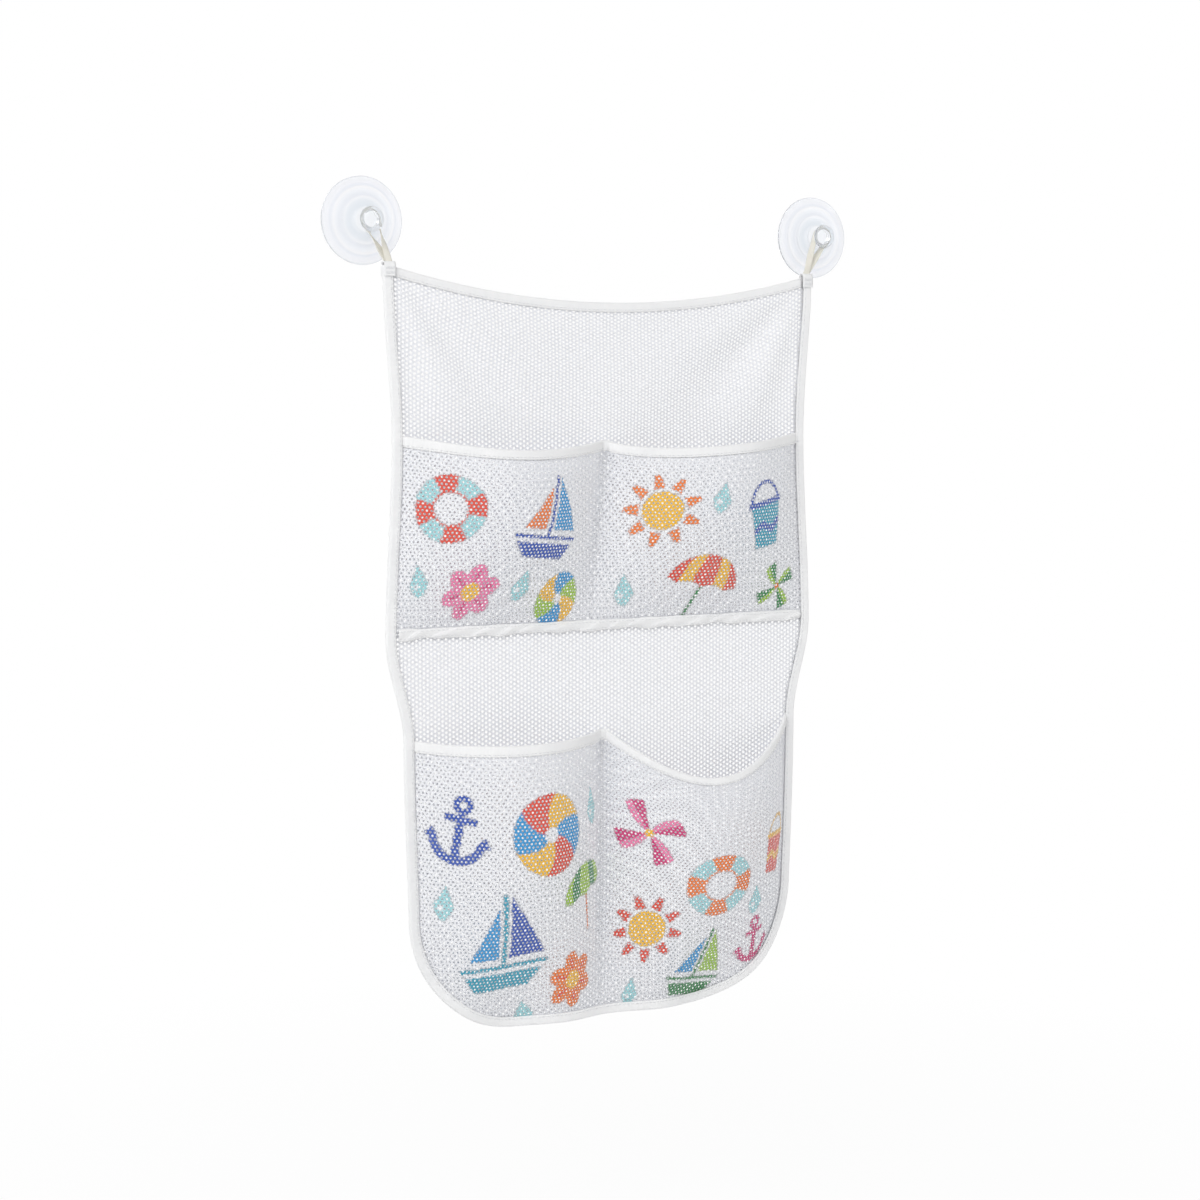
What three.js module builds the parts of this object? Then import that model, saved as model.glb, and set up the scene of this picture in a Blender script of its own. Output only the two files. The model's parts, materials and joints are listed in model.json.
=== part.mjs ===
// Hanging bath organizer: a mesh bag with four pockets on two suction cups.
// Millimetres, +Z up. The wall is the plane y = 0 and the bag hangs in front of it, towards -Y.
// The origin lies on the wall, midway between the two suction cups.

import * as THREE from 'three';

// Driving dimensions: suction cups
const cupDiameter = 57;
const cupSpacing = 352;
const cupRimThickness = 1.1;
const cupContactWidth = 4;
const cupHollowDepth = 2.6;
const cupDomeHeight = 8.6;
const cupBossRadius = 8;
const cupBossStep = 0.9;
const cupInnerRingRadius = 15.4;
const cupInnerRingHeight = 5.4;
const cupOuterRingRadius = 21.9;
const cupOuterRingHeight = 3.4;
const cupRingStep = 0.6;
const cupEdgeRound = 0.5;
const neckRadius = 4.5;
const neckFillet = 0.8;
const headRadius = 8.2;
const headHeight = 5.6;
const headLip = 1.4;
const cupSegments = 36;
const curveSteps = 2;

// Driving dimensions: hanging loops and the tacks that hold them at the corners
const ribbonWidth = 4.5;
const ribbonThickness = 0.8;
const ribbonSideRoom = 0.5;
const tackWidth = 8;
const tackLegLength = 7;

// Driving dimensions: the bag's cut
const cornerWidth = 332;
const cornerDrop = 29;
const bagLength = 510;
const bottomCornerRadius = 82;
const topSag = 22;
const upperMouthNip = 6;
const hemNip = 0.5;
const lowerMouthNip = 13;
const bottomNip = 18;

// Driving dimensions: pocket rows, measured down from the bag's top corners
const upperMouthDrop = 111;
const upperHemDrop = 243;
const lowerMouthDrop = 311;
const upperDepth = 38;
const lowerDepth = 46;
const upperSeamDip = 4;
const upperLeftMouthSag = 7.5;
const upperRightMouthSag = 6.5;
const lowerSeamDip = 1.5;
const lowerLeftMouthSag = 2.5;
const lowerRightMouthSag = 35;
const dividerMargin = 6;
const dividerTopX = -3;
const dividerHemX = -14;
const dividerBottomX = -5;

// Driving dimensions: cloth, tapes, thread and folds
const clothThickness = 0.7;
const tapeThickness = 0.7;
const edgeTapeFace = 6.5;
const topTapeFace = 6;
const mouthTapeFace = 7;
const hemTapeFace = 7;
const seamWidth = 1.8;
const seamThickness = 0.6;
const cornerFoldHeight = 4;
const cornerFoldReach = 150;
const cornerFoldStart = 12;
const cornerFoldFull = 90;
const cornerFolds = 2.2;
const hemWaveHeight = 3.5;
const hemWaveLength = 78;
const hemWavePhase = 0.2;
const hemWaveRise = 110;
const clearance = 0.3;

// Shape shares of a pocket: how full it is at its mouth, how square its belly is across
// and how round its foot is
const mouthFill = 0.82;
const bellyPower = 0.8;
const footPower = 2.8;

// Steps: columns per pocket, rows per stretch of cloth, and steps round a tack and along a ribbon
const pocketColumns = 8;
const topRows = 5;
const upperRows = 6;
const middleRows = 3;
const lowerRows = 5;
const cornerArcRows = 6;
const tackArcSteps = 8;
const strandSteps = 9;
const wrapSteps = 14;

// Colours
const meshWhite = new THREE.MeshStandardMaterial({ color: 0xf3f5f8, roughness: 0.8, metalness: 0 });
const printWhite = new THREE.MeshStandardMaterial({ color: 0xdcebf3, roughness: 0.75, metalness: 0 });
const tapeWhite = new THREE.MeshStandardMaterial({ color: 0xfbfbfa, roughness: 0.6, metalness: 0 });
const ribbonCream = new THREE.MeshStandardMaterial({ color: 0xefece2, roughness: 0.65, metalness: 0 });
const clearVinyl = new THREE.MeshStandardMaterial({
  color: 0xe6ecef, roughness: 0.08, metalness: 0, transparent: true, opacity: 0.4,
});

// Places worked out from the driving dimensions
const cupX = cupSpacing / 2;
const grooveWidth = ribbonWidth + 2 * ribbonSideRoom;
const grooveStart = cupDomeHeight + neckFillet;
const hangY = -(grooveStart + grooveWidth / 2);
const cornerX = cornerWidth / 2;
const cornerZ = -cornerDrop;
const bottomZ = cornerZ - bagLength;
const upperMouthZ = cornerZ - upperMouthDrop;
const upperHemZ = cornerZ - upperHemDrop;
const lowerMouthZ = cornerZ - lowerMouthDrop;
const arcTopZ = bottomZ + bottomCornerRadius;

// Layers, as distances in front of the back panel's middle
const halfCloth = clothThickness / 2;
const layerStep = clothThickness + clearance;
const sewnLift = layerStep;
const tapedLift = layerStep + tapeThickness + clearance;
const edgeFrontInside = sewnLift + halfCloth + clearance;
const edgeBackInside = halfCloth + clearance;

const lerp = THREE.MathUtils.lerp;
const smoothstep = THREE.MathUtils.smoothstep;

// Half the bag's width at a height, eased between the heights where it is gathered.
function halfWidth(z) {
  const stations = [
    [cornerZ, cornerX],
    [upperMouthZ, cornerX - upperMouthNip],
    [upperHemZ, cornerX - hemNip],
    [lowerMouthZ, cornerX - lowerMouthNip],
    [bottomZ, cornerX - bottomNip],
  ];
  for (let k = 1; k < stations.length; k += 1) {
    const [highZ, highX] = stations[k - 1];
    const [lowZ, lowX] = stations[k];
    if (z >= lowZ) return lerp(lowX, highX, smoothstep(z, lowZ, highZ));
  }
  return cornerX - bottomNip;
}

// Where the centre seam runs at a height.
function dividerX(z) {
  if (z > upperMouthZ) return dividerTopX;
  if (z > upperHemZ) return lerp(dividerHemX, dividerTopX, smoothstep(z, upperHemZ, upperMouthZ));
  return lerp(dividerBottomX, dividerHemX, smoothstep(z, lowerMouthZ, upperHemZ));
}

// Rows of the cloth from the top edge to the bottom edge. A row has the height of its ends,
// its share of the top edge's sag, round a bottom corner its angle, and whether the mesh has
// gaps above it: gaps 0 opens a stretch's even rows and gaps 1 its odd ones.
function makeRows() {
  const rows = [{ z: cornerZ, sag: 1, angle: 0 }];
  const stretch = (fromZ, toZ, count, gaps = null, fromSag = 0, toSag = 0) => {
    for (let k = 1; k <= count; k += 1) {
      const share = k / count;
      const open = k % 2 === gaps;
      rows.push({ z: lerp(fromZ, toZ, share), sag: lerp(fromSag, toSag, share), angle: 0, open });
    }
  };
  stretch(cornerZ, cornerZ - topTapeFace, 1, null, 1, 1);
  stretch(cornerZ - topTapeFace, upperMouthZ, topRows, 0, 1, 0);
  const upperMouth = rows.length - 1;
  stretch(upperMouthZ, upperMouthZ - mouthTapeFace, 1);
  stretch(upperMouthZ - mouthTapeFace, upperHemZ + hemTapeFace, upperRows, 1);
  stretch(upperHemZ + hemTapeFace, upperHemZ, 1);
  const upperHem = rows.length - 1;
  stretch(upperHemZ, lowerMouthZ, middleRows, 0);
  const lowerMouth = rows.length - 1;
  stretch(lowerMouthZ, lowerMouthZ - mouthTapeFace, 1);
  stretch(lowerMouthZ - mouthTapeFace, arcTopZ, lowerRows, 1);
  for (let k = 1; k <= cornerArcRows; k += 1) {
    const angle = (Math.PI / 2) * (k / cornerArcRows);
    rows.push({ z: arcTopZ, sag: 0, angle, open: k % 2 === 0 && k < cornerArcRows });
  }
  rows.push({ z: arcTopZ, sag: 0, angle: Math.PI / 2, edge: true });
  return { rows, upperMouth, upperHem, lowerMouth };
}

const { rows, upperMouth, upperHem, lowerMouth } = makeRows();
const lastRow = rows.length - 1;
const leftDivider = 1 + pocketColumns;
const rightDivider = leftDivider + 1;
const innerRight = rightDivider + pocketColumns;
const lastColumn = innerRight + 1;

// A point of the bag's cut, before it folds. Columns 0 and lastColumn are the bag's edge, and
// the columns beside them lie one tape face inside it, where the edge tape ends.
function cutPoint(column, row) {
  const { z, sag, angle, edge } = rows[row];
  const sideInset = column === 0 || column === lastColumn ? 0 : edgeTapeFace;
  const heightInset = edge ? 0 : sideInset;
  let sideX = halfWidth(z) - sideInset;
  let height = z;
  if (angle > 0) {
    const centreX = halfWidth(arcTopZ) - bottomCornerRadius;
    sideX = centreX + (bottomCornerRadius - sideInset) * Math.cos(angle);
    height = arcTopZ - (bottomCornerRadius - heightInset) * Math.sin(angle);
  }
  const middle = dividerX(height);
  const half = dividerMargin / 2;
  let x = column === 0 ? -sideX : sideX;
  if (column >= 1 && column <= leftDivider) {
    x = lerp(-sideX, middle - half, (column - 1) / pocketColumns);
  } else if (column >= rightDivider && column <= innerRight) {
    x = lerp(middle + half, sideX, (column - rightDivider) / pocketColumns);
  }
  const across = THREE.MathUtils.clamp(x / (sideX + sideInset), -1, 1);
  return new THREE.Vector2(x, height - topSag * sag * (1 - across * across));
}

// How far the hanging cloth folds towards the wall at a point of its cut: creases that fan
// out from the two corners it hangs by, and waves along the bottom edge.
function foldDepth({ x, y: z }) {
  const fanStart = THREE.MathUtils.degToRad(8);
  const fanEnd = THREE.MathUtils.degToRad(86);
  let depth = 0;
  for (const side of [-1, 1]) {
    const along = cornerX - side * x;
    const down = cornerZ - z;
    const reach = Math.hypot(along, down);
    const angle = Math.atan2(down, along);
    const fan = (angle - fanStart) / (fanEnd - fanStart);
    if (fan > 0 && fan < 1) {
      const rise = smoothstep(reach, cornerFoldStart, cornerFoldFull);
      const fade = Math.exp(-((reach / cornerFoldReach) ** 2));
      const crease = Math.sin(Math.PI * fan) * Math.cos(cornerFolds * 2 * Math.PI * fan);
      depth += cornerFoldHeight * rise * fade * crease;
    }
  }
  const waves = Math.sin(2 * Math.PI * (x / hemWaveLength + hemWavePhase));
  return depth + hemWaveHeight * (1 - smoothstep(z, bottomZ, bottomZ + hemWaveRise)) * waves;
}

// A point of the hung cloth, lifted off the back panel's middle towards the front. The strip
// under an edge tape folds with the line beside it, so that it lies flat across the tape.
function clothPoint(column, row, lift) {
  const cut = cutPoint(column, row);
  const beside = cutPoint(
    THREE.MathUtils.clamp(column, 1, innerRight),
    THREE.MathUtils.clamp(row, 1, lastRow - 1),
  );
  return new THREE.Vector3(cut.x, hangY + foldDepth(beside) - lift, cut.y);
}

// A closed solid from vertices and triangles, turned so that its faces point out.
function solidGeometry(points, triangles) {
  let volume = 0;
  for (const [a, b, c] of triangles) {
    volume += points[a].dot(new THREE.Vector3().crossVectors(points[b], points[c]));
  }
  const faces = volume < 0 ? triangles.map(([a, b, c]) => [a, c, b]) : triangles;
  const geometry = new THREE.BufferGeometry();
  geometry.setAttribute('position', new THREE.Float32BufferAttribute(points.flatMap((p) => p.toArray()), 3));
  geometry.setIndex(faces.flat());
  geometry.computeVertexNormals();
  return geometry;
}

// A sheet with thickness. layers(column, row) gives the front and back points of a grid, and
// grid points that fall on each other are one point. isOpen(column, row) leaves out the cell
// before that column and row.
function sheetGeometry(columns, sheetRows, layers, isOpen = () => false) {
  const known = new Map();
  const front = [];
  const back = [];
  const index = columns.map((column) => sheetRows.map((row) => {
    const pair = layers(column, row);
    const key = pair[0].toArray().map((value) => value.toFixed(3)).join(',');
    if (!known.has(key)) {
      known.set(key, front.length);
      front.push(pair[0]);
      back.push(pair[1]);
    }
    return known.get(key);
  }));
  const facets = [];
  for (let i = 1; i < columns.length; i += 1) {
    for (let j = 1; j < sheetRows.length; j += 1) {
      const [a, b, c, d] = [index[i - 1][j - 1], index[i][j - 1], index[i][j], index[i - 1][j]];
      if (!isOpen(columns[i], sheetRows[j])) facets.push([a, b, c], [a, c, d]);
    }
  }
  const faces = facets.filter(([a, b, c]) => a !== b && b !== c && c !== a);
  const rim = new Map();
  for (const face of faces) {
    face.forEach((from, k) => {
      const to = face[(k + 1) % face.length];
      if (!rim.delete(`${to},${from}`)) rim.set(`${from},${to}`, [from, to]);
    });
  }
  const count = front.length;
  const triangles = faces.flatMap(([a, b, c]) => [[a, b, c], [count + a, count + c, count + b]]);
  for (const [from, to] of rim.values()) {
    triangles.push([from, count + from, count + to], [from, count + to, to]);
  }
  return solidGeometry([...front, ...back], triangles);
}

// A tape or ribbon: one closed section carried through a list of places.
function sweptGeometry(sections, flatSection) {
  const corners = flatSection.length;
  const points = sections.flat();
  const triangles = [];
  for (let k = 1; k < sections.length; k += 1) {
    for (let n = 0; n < corners; n += 1) {
      const next = (n + 1) % corners;
      const [a, b] = [(k - 1) * corners + n, (k - 1) * corners + next];
      const [c, d] = [k * corners + next, k * corners + n];
      triangles.push([a, b, c], [a, c, d]);
    }
  }
  const end = (sections.length - 1) * corners;
  for (const [a, b, c] of THREE.ShapeUtils.triangulateShape(flatSection, [])) {
    triangles.push([a, c, b], [end + a, end + b, end + c]);
  }
  return solidGeometry(points, triangles);
}

// A tape folded over an edge. Each place has the edge and the inside point that the tape
// reaches to, each with the way out of the cloth there. front and back are the distances from
// the cloth's middle to the tape's inner faces.
function foldedTape(places, front, back) {
  const fold = clearance + tapeThickness;
  const roundness = 0.35 * tapeThickness;
  // The section laid flat, in shares of the tape's face, for its end caps
  const flatSection = [
    [0, front], [0.9, front], [0.9, -back], [0, -back], [0, -back - tapeThickness],
    [1, -back - tapeThickness], [1.1, 0], [1, front + tapeThickness], [0, front + tapeThickness],
  ].map(([x, y]) => new THREE.Vector2(x, y));
  const sections = places.map(({ edge, inside, edgeOut, insideOut }) => {
    const outward = edge.clone().sub(inside).normalize();
    const at = (base, out, push, lift) => {
      const point = base.clone().addScaledVector(outward, push);
      return point.addScaledVector(out, lift);
    };
    return [
      at(inside, insideOut, 0, front),
      at(edge, edgeOut, clearance, front),
      at(edge, edgeOut, clearance, -back),
      at(inside, insideOut, 0, -back),
      at(inside, insideOut, 0, -back - tapeThickness),
      at(edge, edgeOut, fold - roundness, -back - tapeThickness),
      at(edge, edgeOut, fold + roundness, (front - back) / 2),
      at(edge, edgeOut, fold - roundness, front + tapeThickness),
      at(inside, insideOut, 0, front + tapeThickness),
    ];
  });
  return sweptGeometry(sections, flatSection);
}

const range = (from, to) => Array.from({ length: to - from + 1 }, (_, k) => from + k);
const towardsFront = new THREE.Vector3(0, -1, 0);

// Gaps of the back panel, a plain grid that stands for its fine mesh: every other column of
// each half, counted from the sides, in the rows that have gaps. Tapes and seams lie on closed cloth.
function isMeshGap(column, row) {
  const fromSide = column <= leftDivider ? column - 2 : innerRight - column;
  const onMargin = column === 1 || column === rightDivider || column === lastColumn;
  return !onMargin && rows[row].open && fromSide % 2 === 0;
}

// Back panel
function backPanelGeometry() {
  const layers = (column, row) => [
    clothPoint(column, row, halfCloth),
    clothPoint(column, row, -halfCloth),
  ];
  return sheetGeometry(range(0, lastColumn), range(0, lastRow), layers, isMeshGap);
}

// A row of two pockets, sewn down at its sides, along the centre seam and along its foot.
class PocketRow {
  constructor({ mouthRow, footRow, flatRows, depth, fullness, seamDip, sags }) {
    Object.assign(this, { mouthRow, footRow, flatRows, depth, fullness, seamDip, sags });
  }

  // Which pocket a column crosses and how far across it lies, or null on a sewn margin.
  pocketAt(column) {
    if (column > 1 && column < leftDivider) return { side: 0, across: (column - 1) / pocketColumns };
    if (column > rightDivider && column < innerRight) {
      return { side: 1, across: (column - rightDivider) / pocketColumns };
    }
    return null;
  }

  // The share of the pocket's height below its mouth.
  dropShare(column, row) {
    const at = (r) => cutPoint(column, r).y;
    return (at(this.mouthRow) - at(row)) / (at(this.mouthRow) - at(this.footRow - this.flatRows));
  }

  // The middle of the pocket's cloth at a grid point.
  middle(column, row) {
    const pocket = this.pocketAt(column);
    const onSeam = column >= leftDivider && column <= rightDivider;
    const point = clothPoint(column, row, onSeam && row <= this.mouthRow + 1 ? tapedLift : sewnLift);
    if (row > this.footRow - this.flatRows || !(pocket || onSeam)) return point;
    const drop = this.dropShare(column, row);
    const slack = (1 - drop) ** 2;
    if (onSeam) {
      point.z -= this.seamDip * slack;
      return point;
    }
    const nearSeam = pocket.side === 0 ? pocket.across : 1 - pocket.across;
    const { sag, peak } = this.sags[pocket.side];
    const hang = Math.sin(Math.PI * pocket.across ** (Math.log(0.5) / Math.log(peak)));
    const belly = Math.sin(Math.PI * pocket.across) ** bellyPower;
    const fill = lerp(mouthFill, 1, Math.sin((Math.PI / 2) * Math.min(1, drop / this.fullness)));
    point.y -= this.depth * belly * fill * (1 - drop ** footPower);
    point.z -= (sag * hang + this.seamDip * nearSeam) * slack;
    return point;
  }

  // The way out of the pocket's front at a grid point, straight ahead on its sewn margins.
  out(column, row) {
    if (!this.pocketAt(column) || row >= this.footRow - this.flatRows) return towardsFront;
    const across = this.middle(column + 1, row).sub(this.middle(column - 1, row));
    const upper = this.middle(column, Math.max(row - 1, this.mouthRow));
    const down = this.middle(column, row + 1).sub(upper);
    return across.cross(down).normalize().negate();
  }

  // A point at a distance in front of the cloth's middle.
  at(column, row, lift) {
    return this.middle(column, row).addScaledVector(this.out(column, row), lift);
  }

  panelGeometry() {
    return sheetGeometry(range(0, lastColumn), range(this.mouthRow, this.footRow), (column, row) => [
      this.at(column, row, halfCloth),
      this.at(column, row, -halfCloth),
    ]);
  }

  // The tape folded over both mouths, which stops short of the edge tape at each side.
  mouthGeometry() {
    const endShare = 0.2;
    const columns = range(1, innerRight);
    const places = columns.map((column) => {
      const beside = column === 1 ? column + 1 : column - 1;
      const share = column === 1 || column === innerRight ? endShare : 0;
      const point = (row) => this.middle(column, row).lerp(this.middle(beside, row), share);
      const out = (row) => {
        if (!share) return this.out(column, row);
        const along = this.middle(beside, row).sub(this.middle(column, row));
        const down = this.middle(column, row + 1).sub(this.middle(column, row));
        return along.cross(down).normalize().multiplyScalar(column === 1 ? -1 : 1);
      };
      return {
        edge: point(this.mouthRow),
        inside: point(this.mouthRow + 1),
        edgeOut: out(this.mouthRow),
        insideOut: out(this.mouthRow + 1),
      };
    });
    const inside = halfCloth + clearance;
    return foldedTape(places, inside, inside);
  }

  // The line of stitches that parts the two pockets.
  dividerGeometry() {
    const from = this.mouthRow + 1;
    const to = this.footRow - this.flatRows;
    const lift = halfCloth + clearance;
    const place = (column, row, raise) => {
      const left = this.at(leftDivider, row, lift + raise);
      const middle = left.lerp(this.at(rightDivider, row, lift + raise), 0.5);
      middle.x += (column * seamWidth) / 2;
      if (row === from) middle.z -= 2 * clearance;
      if (row === to) middle.z += 2 * clearance;
      return middle;
    };
    return sheetGeometry([-1, 1], range(from, to), (column, row) => [
      place(column, row, seamThickness),
      place(column, row, 0),
    ]);
  }
}

const upperPockets = new PocketRow({
  mouthRow: upperMouth,
  footRow: upperHem,
  flatRows: 1,
  depth: upperDepth,
  fullness: 0.5,
  seamDip: upperSeamDip,
  sags: [{ sag: upperLeftMouthSag, peak: 0.49 }, { sag: upperRightMouthSag, peak: 0.32 }],
});

const lowerPockets = new PocketRow({
  mouthRow: lowerMouth,
  footRow: lastRow,
  flatRows: 1,
  depth: lowerDepth,
  fullness: 0.55,
  seamDip: lowerSeamDip,
  sags: [{ sag: lowerLeftMouthSag, peak: 0.35 }, { sag: lowerRightMouthSag, peak: 0.46 }],
});

// A strip of tape over the upper pockets' foot, sewn through to the back panel.
function upperHemGeometry() {
  const lift = halfCloth + clearance;
  const columns = range(1, innerRight);
  const place = (column, row, raise) => {
    const point = upperPockets.at(column, row, lift + raise);
    if (column === 1) point.x += 2 * clearance;
    if (column === innerRight) point.x -= 2 * clearance;
    return point;
  };
  return sheetGeometry(columns, [upperHem - 1, upperHem], (column, row) => [
    place(column, row, tapeThickness),
    place(column, row, 0),
  ]);
}

// The tape folded over the top edge, between the two ends of the edge tape.
function topBindingGeometry() {
  const places = range(1, innerRight).map((column) => {
    const beside = column === 1 ? column + 1 : column - 1;
    const end = column === 1 || column === innerRight;
    const point = (row) => {
      const here = clothPoint(column, row, 0);
      const next = clothPoint(beside, row, 0);
      return end ? here.lerp(next, (2 * clearance) / here.distanceTo(next)) : here;
    };
    return { edge: point(0), inside: point(1), edgeOut: towardsFront, insideOut: towardsFront };
  });
  return foldedTape(places, edgeBackInside, edgeBackInside);
}

// The tape folded over both sides and the bottom, in one run from corner to corner.
function edgeBindingGeometry() {
  const cornerRow = lastRow - 1;
  const stations = [
    ...range(0, cornerRow).map((row) => [[0, row], [1, row]]),
    ...range(2, innerRight - 1).map((column) => [[column, lastRow], [column, lastRow - 1]]),
    ...range(0, cornerRow).reverse().map((row) => [[lastColumn, row], [innerRight, row]]),
  ];
  const places = stations.map(([edge, inside]) => ({
    edge: clothPoint(...edge, 0),
    inside: clothPoint(...inside, 0),
    edgeOut: towardsFront,
    insideOut: towardsFront,
  }));
  return foldedTape(places, edgeFrontInside, edgeBackInside);
}

// The line that the bag swings about, through the middle of both bound corners.
const swingY = hangY - (edgeFrontInside - edgeBackInside) / 2;
const tackInside = (edgeFrontInside + edgeBackInside) / 2 + tapeThickness + clearance;
const tackOutside = tackInside + tapeThickness;
const tackX = cornerX + clearance + tapeThickness - tackWidth / 2;

// A short tape folded over a corner, round on top so that the loop's ends rest over it as
// the bag swings.
function cornerTackGeometry() {
  const shape = new THREE.Shape();
  shape.moveTo(-tackOutside, -tackLegLength);
  shape.lineTo(-tackInside, -tackLegLength);
  shape.lineTo(-tackInside, 0);
  shape.absarc(0, 0, tackInside, Math.PI, 0, true);
  shape.lineTo(tackInside, -tackLegLength);
  shape.lineTo(tackOutside, -tackLegLength);
  shape.lineTo(tackOutside, 0);
  shape.absarc(0, 0, tackOutside, 0, Math.PI, false);
  shape.closePath();
  const settings = { depth: tackWidth, bevelEnabled: false, curveSegments: tackArcSteps };
  const geometry = new THREE.ExtrudeGeometry(shape, settings);
  geometry.translate(0, 0, -tackWidth / 2);
  geometry.rotateY(Math.PI / 2);
  geometry.rotateX(Math.PI / 2);
  return geometry;
}

// A ribbon from the corner, round the cup's neck and back, twisting a quarter turn on each
// strand so that both ends lie flat at the corner, one behind the other. Drawn about the neck's middle.
function loopGeometry(side) {
  const wrap = neckRadius + clearance + ribbonThickness / 2;
  const stack = (ribbonThickness + clearance) / 2;
  const footX = tackX - cupX;
  const footZ = cornerZ + tackOutside + clearance;
  const footAngle = Math.atan2(footZ, footX);
  const spread = Math.acos(wrap / Math.hypot(footX, footZ));
  const radial = (angle) => new THREE.Vector3(Math.cos(angle), 0, Math.sin(angle));
  const strand = (hand) => range(0, strandSteps).map((step) => {
    const rise = step / strandSteps;
    const twist = (Math.PI / 2) * (1 - smoothstep(rise, 0, 1));
    const out = radial(footAngle + hand * spread);
    const foot = new THREE.Vector3(footX, swingY - hangY + hand * stack, footZ);
    const thick = out.clone().multiplyScalar(Math.cos(twist));
    thick.y = hand * Math.sin(twist);
    return { centre: foot.lerp(out.multiplyScalar(wrap), rise), thick };
  });
  const over = range(1, wrapSteps - 1).map((step) => {
    const thick = radial(lerp(2 * Math.PI + footAngle - spread, footAngle + spread, step / wrapSteps));
    return { centre: thick.clone().multiplyScalar(wrap), thick };
  });
  const stations = [...strand(-1), ...over, ...strand(1).reverse()];
  const flatSection = [[-1, -1], [1, -1], [1, 1], [-1, 1]].map(([x, y]) => new THREE.Vector2(x, y));
  const sections = stations.map(({ centre, thick }, k) => {
    const before = stations[Math.max(k - 1, 0)].centre;
    const after = stations[Math.min(k + 1, stations.length - 1)].centre;
    const along = after.clone().sub(before);
    if (k === 0 || k === stations.length - 1) along.x = 0;
    const wide = new THREE.Vector3().crossVectors(along, thick).normalize();
    return flatSection.map(({ x, y }) => centre.clone()
      .addScaledVector(wide, (x * ribbonWidth) / 2)
      .addScaledVector(thick, (y * ribbonThickness) / 2)
      .multiply(new THREE.Vector3(side, 1, 1)));
  });
  return sweptGeometry(sections, flatSection);
}

// A moulded cup: a thin disc with a hollow face, a stepped dome, a neck and a mushroom head.
function suctionCupGeometry() {
  const radius = cupDiameter / 2;
  const contact = radius - cupContactWidth;
  const neckEnd = grooveStart + grooveWidth;
  const headEnd = neckEnd + headHeight;
  const headMiddle = neckEnd + headLip;
  const profile = new THREE.Path();
  profile.moveTo(0, -headEnd);
  profile.absellipse(0, -headMiddle, headRadius, headEnd - headMiddle, -Math.PI / 2, 0, false);
  profile.quadraticCurveTo(headRadius, -neckEnd, headRadius - headLip, -neckEnd);
  profile.lineTo(neckRadius, -neckEnd);
  profile.lineTo(neckRadius, -grooveStart);
  profile.lineTo(neckRadius + neckFillet, -cupDomeHeight);
  profile.lineTo(cupBossRadius, -cupDomeHeight);
  profile.lineTo(cupBossRadius + cupBossStep / 2, -(cupDomeHeight - cupBossStep));
  const rings = [
    [cupBossRadius, cupInnerRingRadius, cupInnerRingHeight],
    [cupInnerRingRadius, cupOuterRingRadius, cupOuterRingHeight],
  ];
  for (const [before, ring, height] of rings) {
    profile.quadraticCurveTo(
      lerp(before, ring, 0.5), -(height + cupRingStep),
      ring, -(height + cupRingStep / 2),
    );
    profile.lineTo(ring + cupRingStep, -(height - cupRingStep / 2));
  }
  profile.quadraticCurveTo(
    lerp(cupOuterRingRadius, radius, 0.5), -(cupRimThickness + cupRingStep),
    radius - cupEdgeRound, -cupRimThickness,
  );
  profile.lineTo(radius, -cupRimThickness / 2);
  profile.lineTo(radius, 0);
  profile.lineTo(contact, 0);
  profile.quadraticCurveTo(contact / 2, -cupHollowDepth, 0, -cupHollowDepth);
  return new THREE.LatheGeometry(profile.getPoints(curveSteps), cupSegments);
}

const organizer = new THREE.Group();

function addPiece(name, geometry, material, parent = organizer) {
  const mesh = new THREE.Mesh(geometry, material);
  mesh.name = name;
  parent.add(mesh);
  return mesh;
}

addPiece('back_panel', backPanelGeometry(), meshWhite);
addPiece('upper_pocket_panel', upperPockets.panelGeometry(), printWhite);
addPiece('lower_pocket_panel', lowerPockets.panelGeometry(), printWhite);
addPiece('top_binding', topBindingGeometry(), tapeWhite);
addPiece('edge_binding', edgeBindingGeometry(), tapeWhite);
addPiece('upper_mouth_binding', upperPockets.mouthGeometry(), tapeWhite);
addPiece('lower_mouth_binding', lowerPockets.mouthGeometry(), tapeWhite);
addPiece('upper_pocket_hem', upperHemGeometry(), tapeWhite);
addPiece('upper_divider_seam', upperPockets.dividerGeometry(), tapeWhite);
addPiece('lower_divider_seam', lowerPockets.dividerGeometry(), tapeWhite);

for (const [sideName, side] of [['left', -1], ['right', 1]]) {
  const tack = addPiece(`${sideName}_corner_tack`, cornerTackGeometry(), tapeWhite);
  tack.position.set(side * tackX, swingY, cornerZ);
  const cup = addPiece(`${sideName}_suction_cup`, suctionCupGeometry(), clearVinyl);
  cup.position.set(side * cupX, 0, 0);
  const loop = addPiece(`${sideName}_hanging_loop`, loopGeometry(side), ribbonCream);
  loop.position.set(side * cupX, hangY, 0);
}

export default organizer;
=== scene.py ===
"""Looks of a hanging bath organizer: a net bag with four pockets on two clear suction cups.

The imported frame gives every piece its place, and this script dresses it. Lengths are in
metres, +Z is up, the wall is the plane y = 0 and the pockets face -Y.
"""

from __future__ import annotations

import json
import logging
import math
from abc import ABC, abstractmethod
from dataclasses import dataclass
from enum import Enum
from typing import Any, Callable, Sequence

import bmesh
import bpy
import numpy as np
from mathutils import Matrix, Vector

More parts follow.
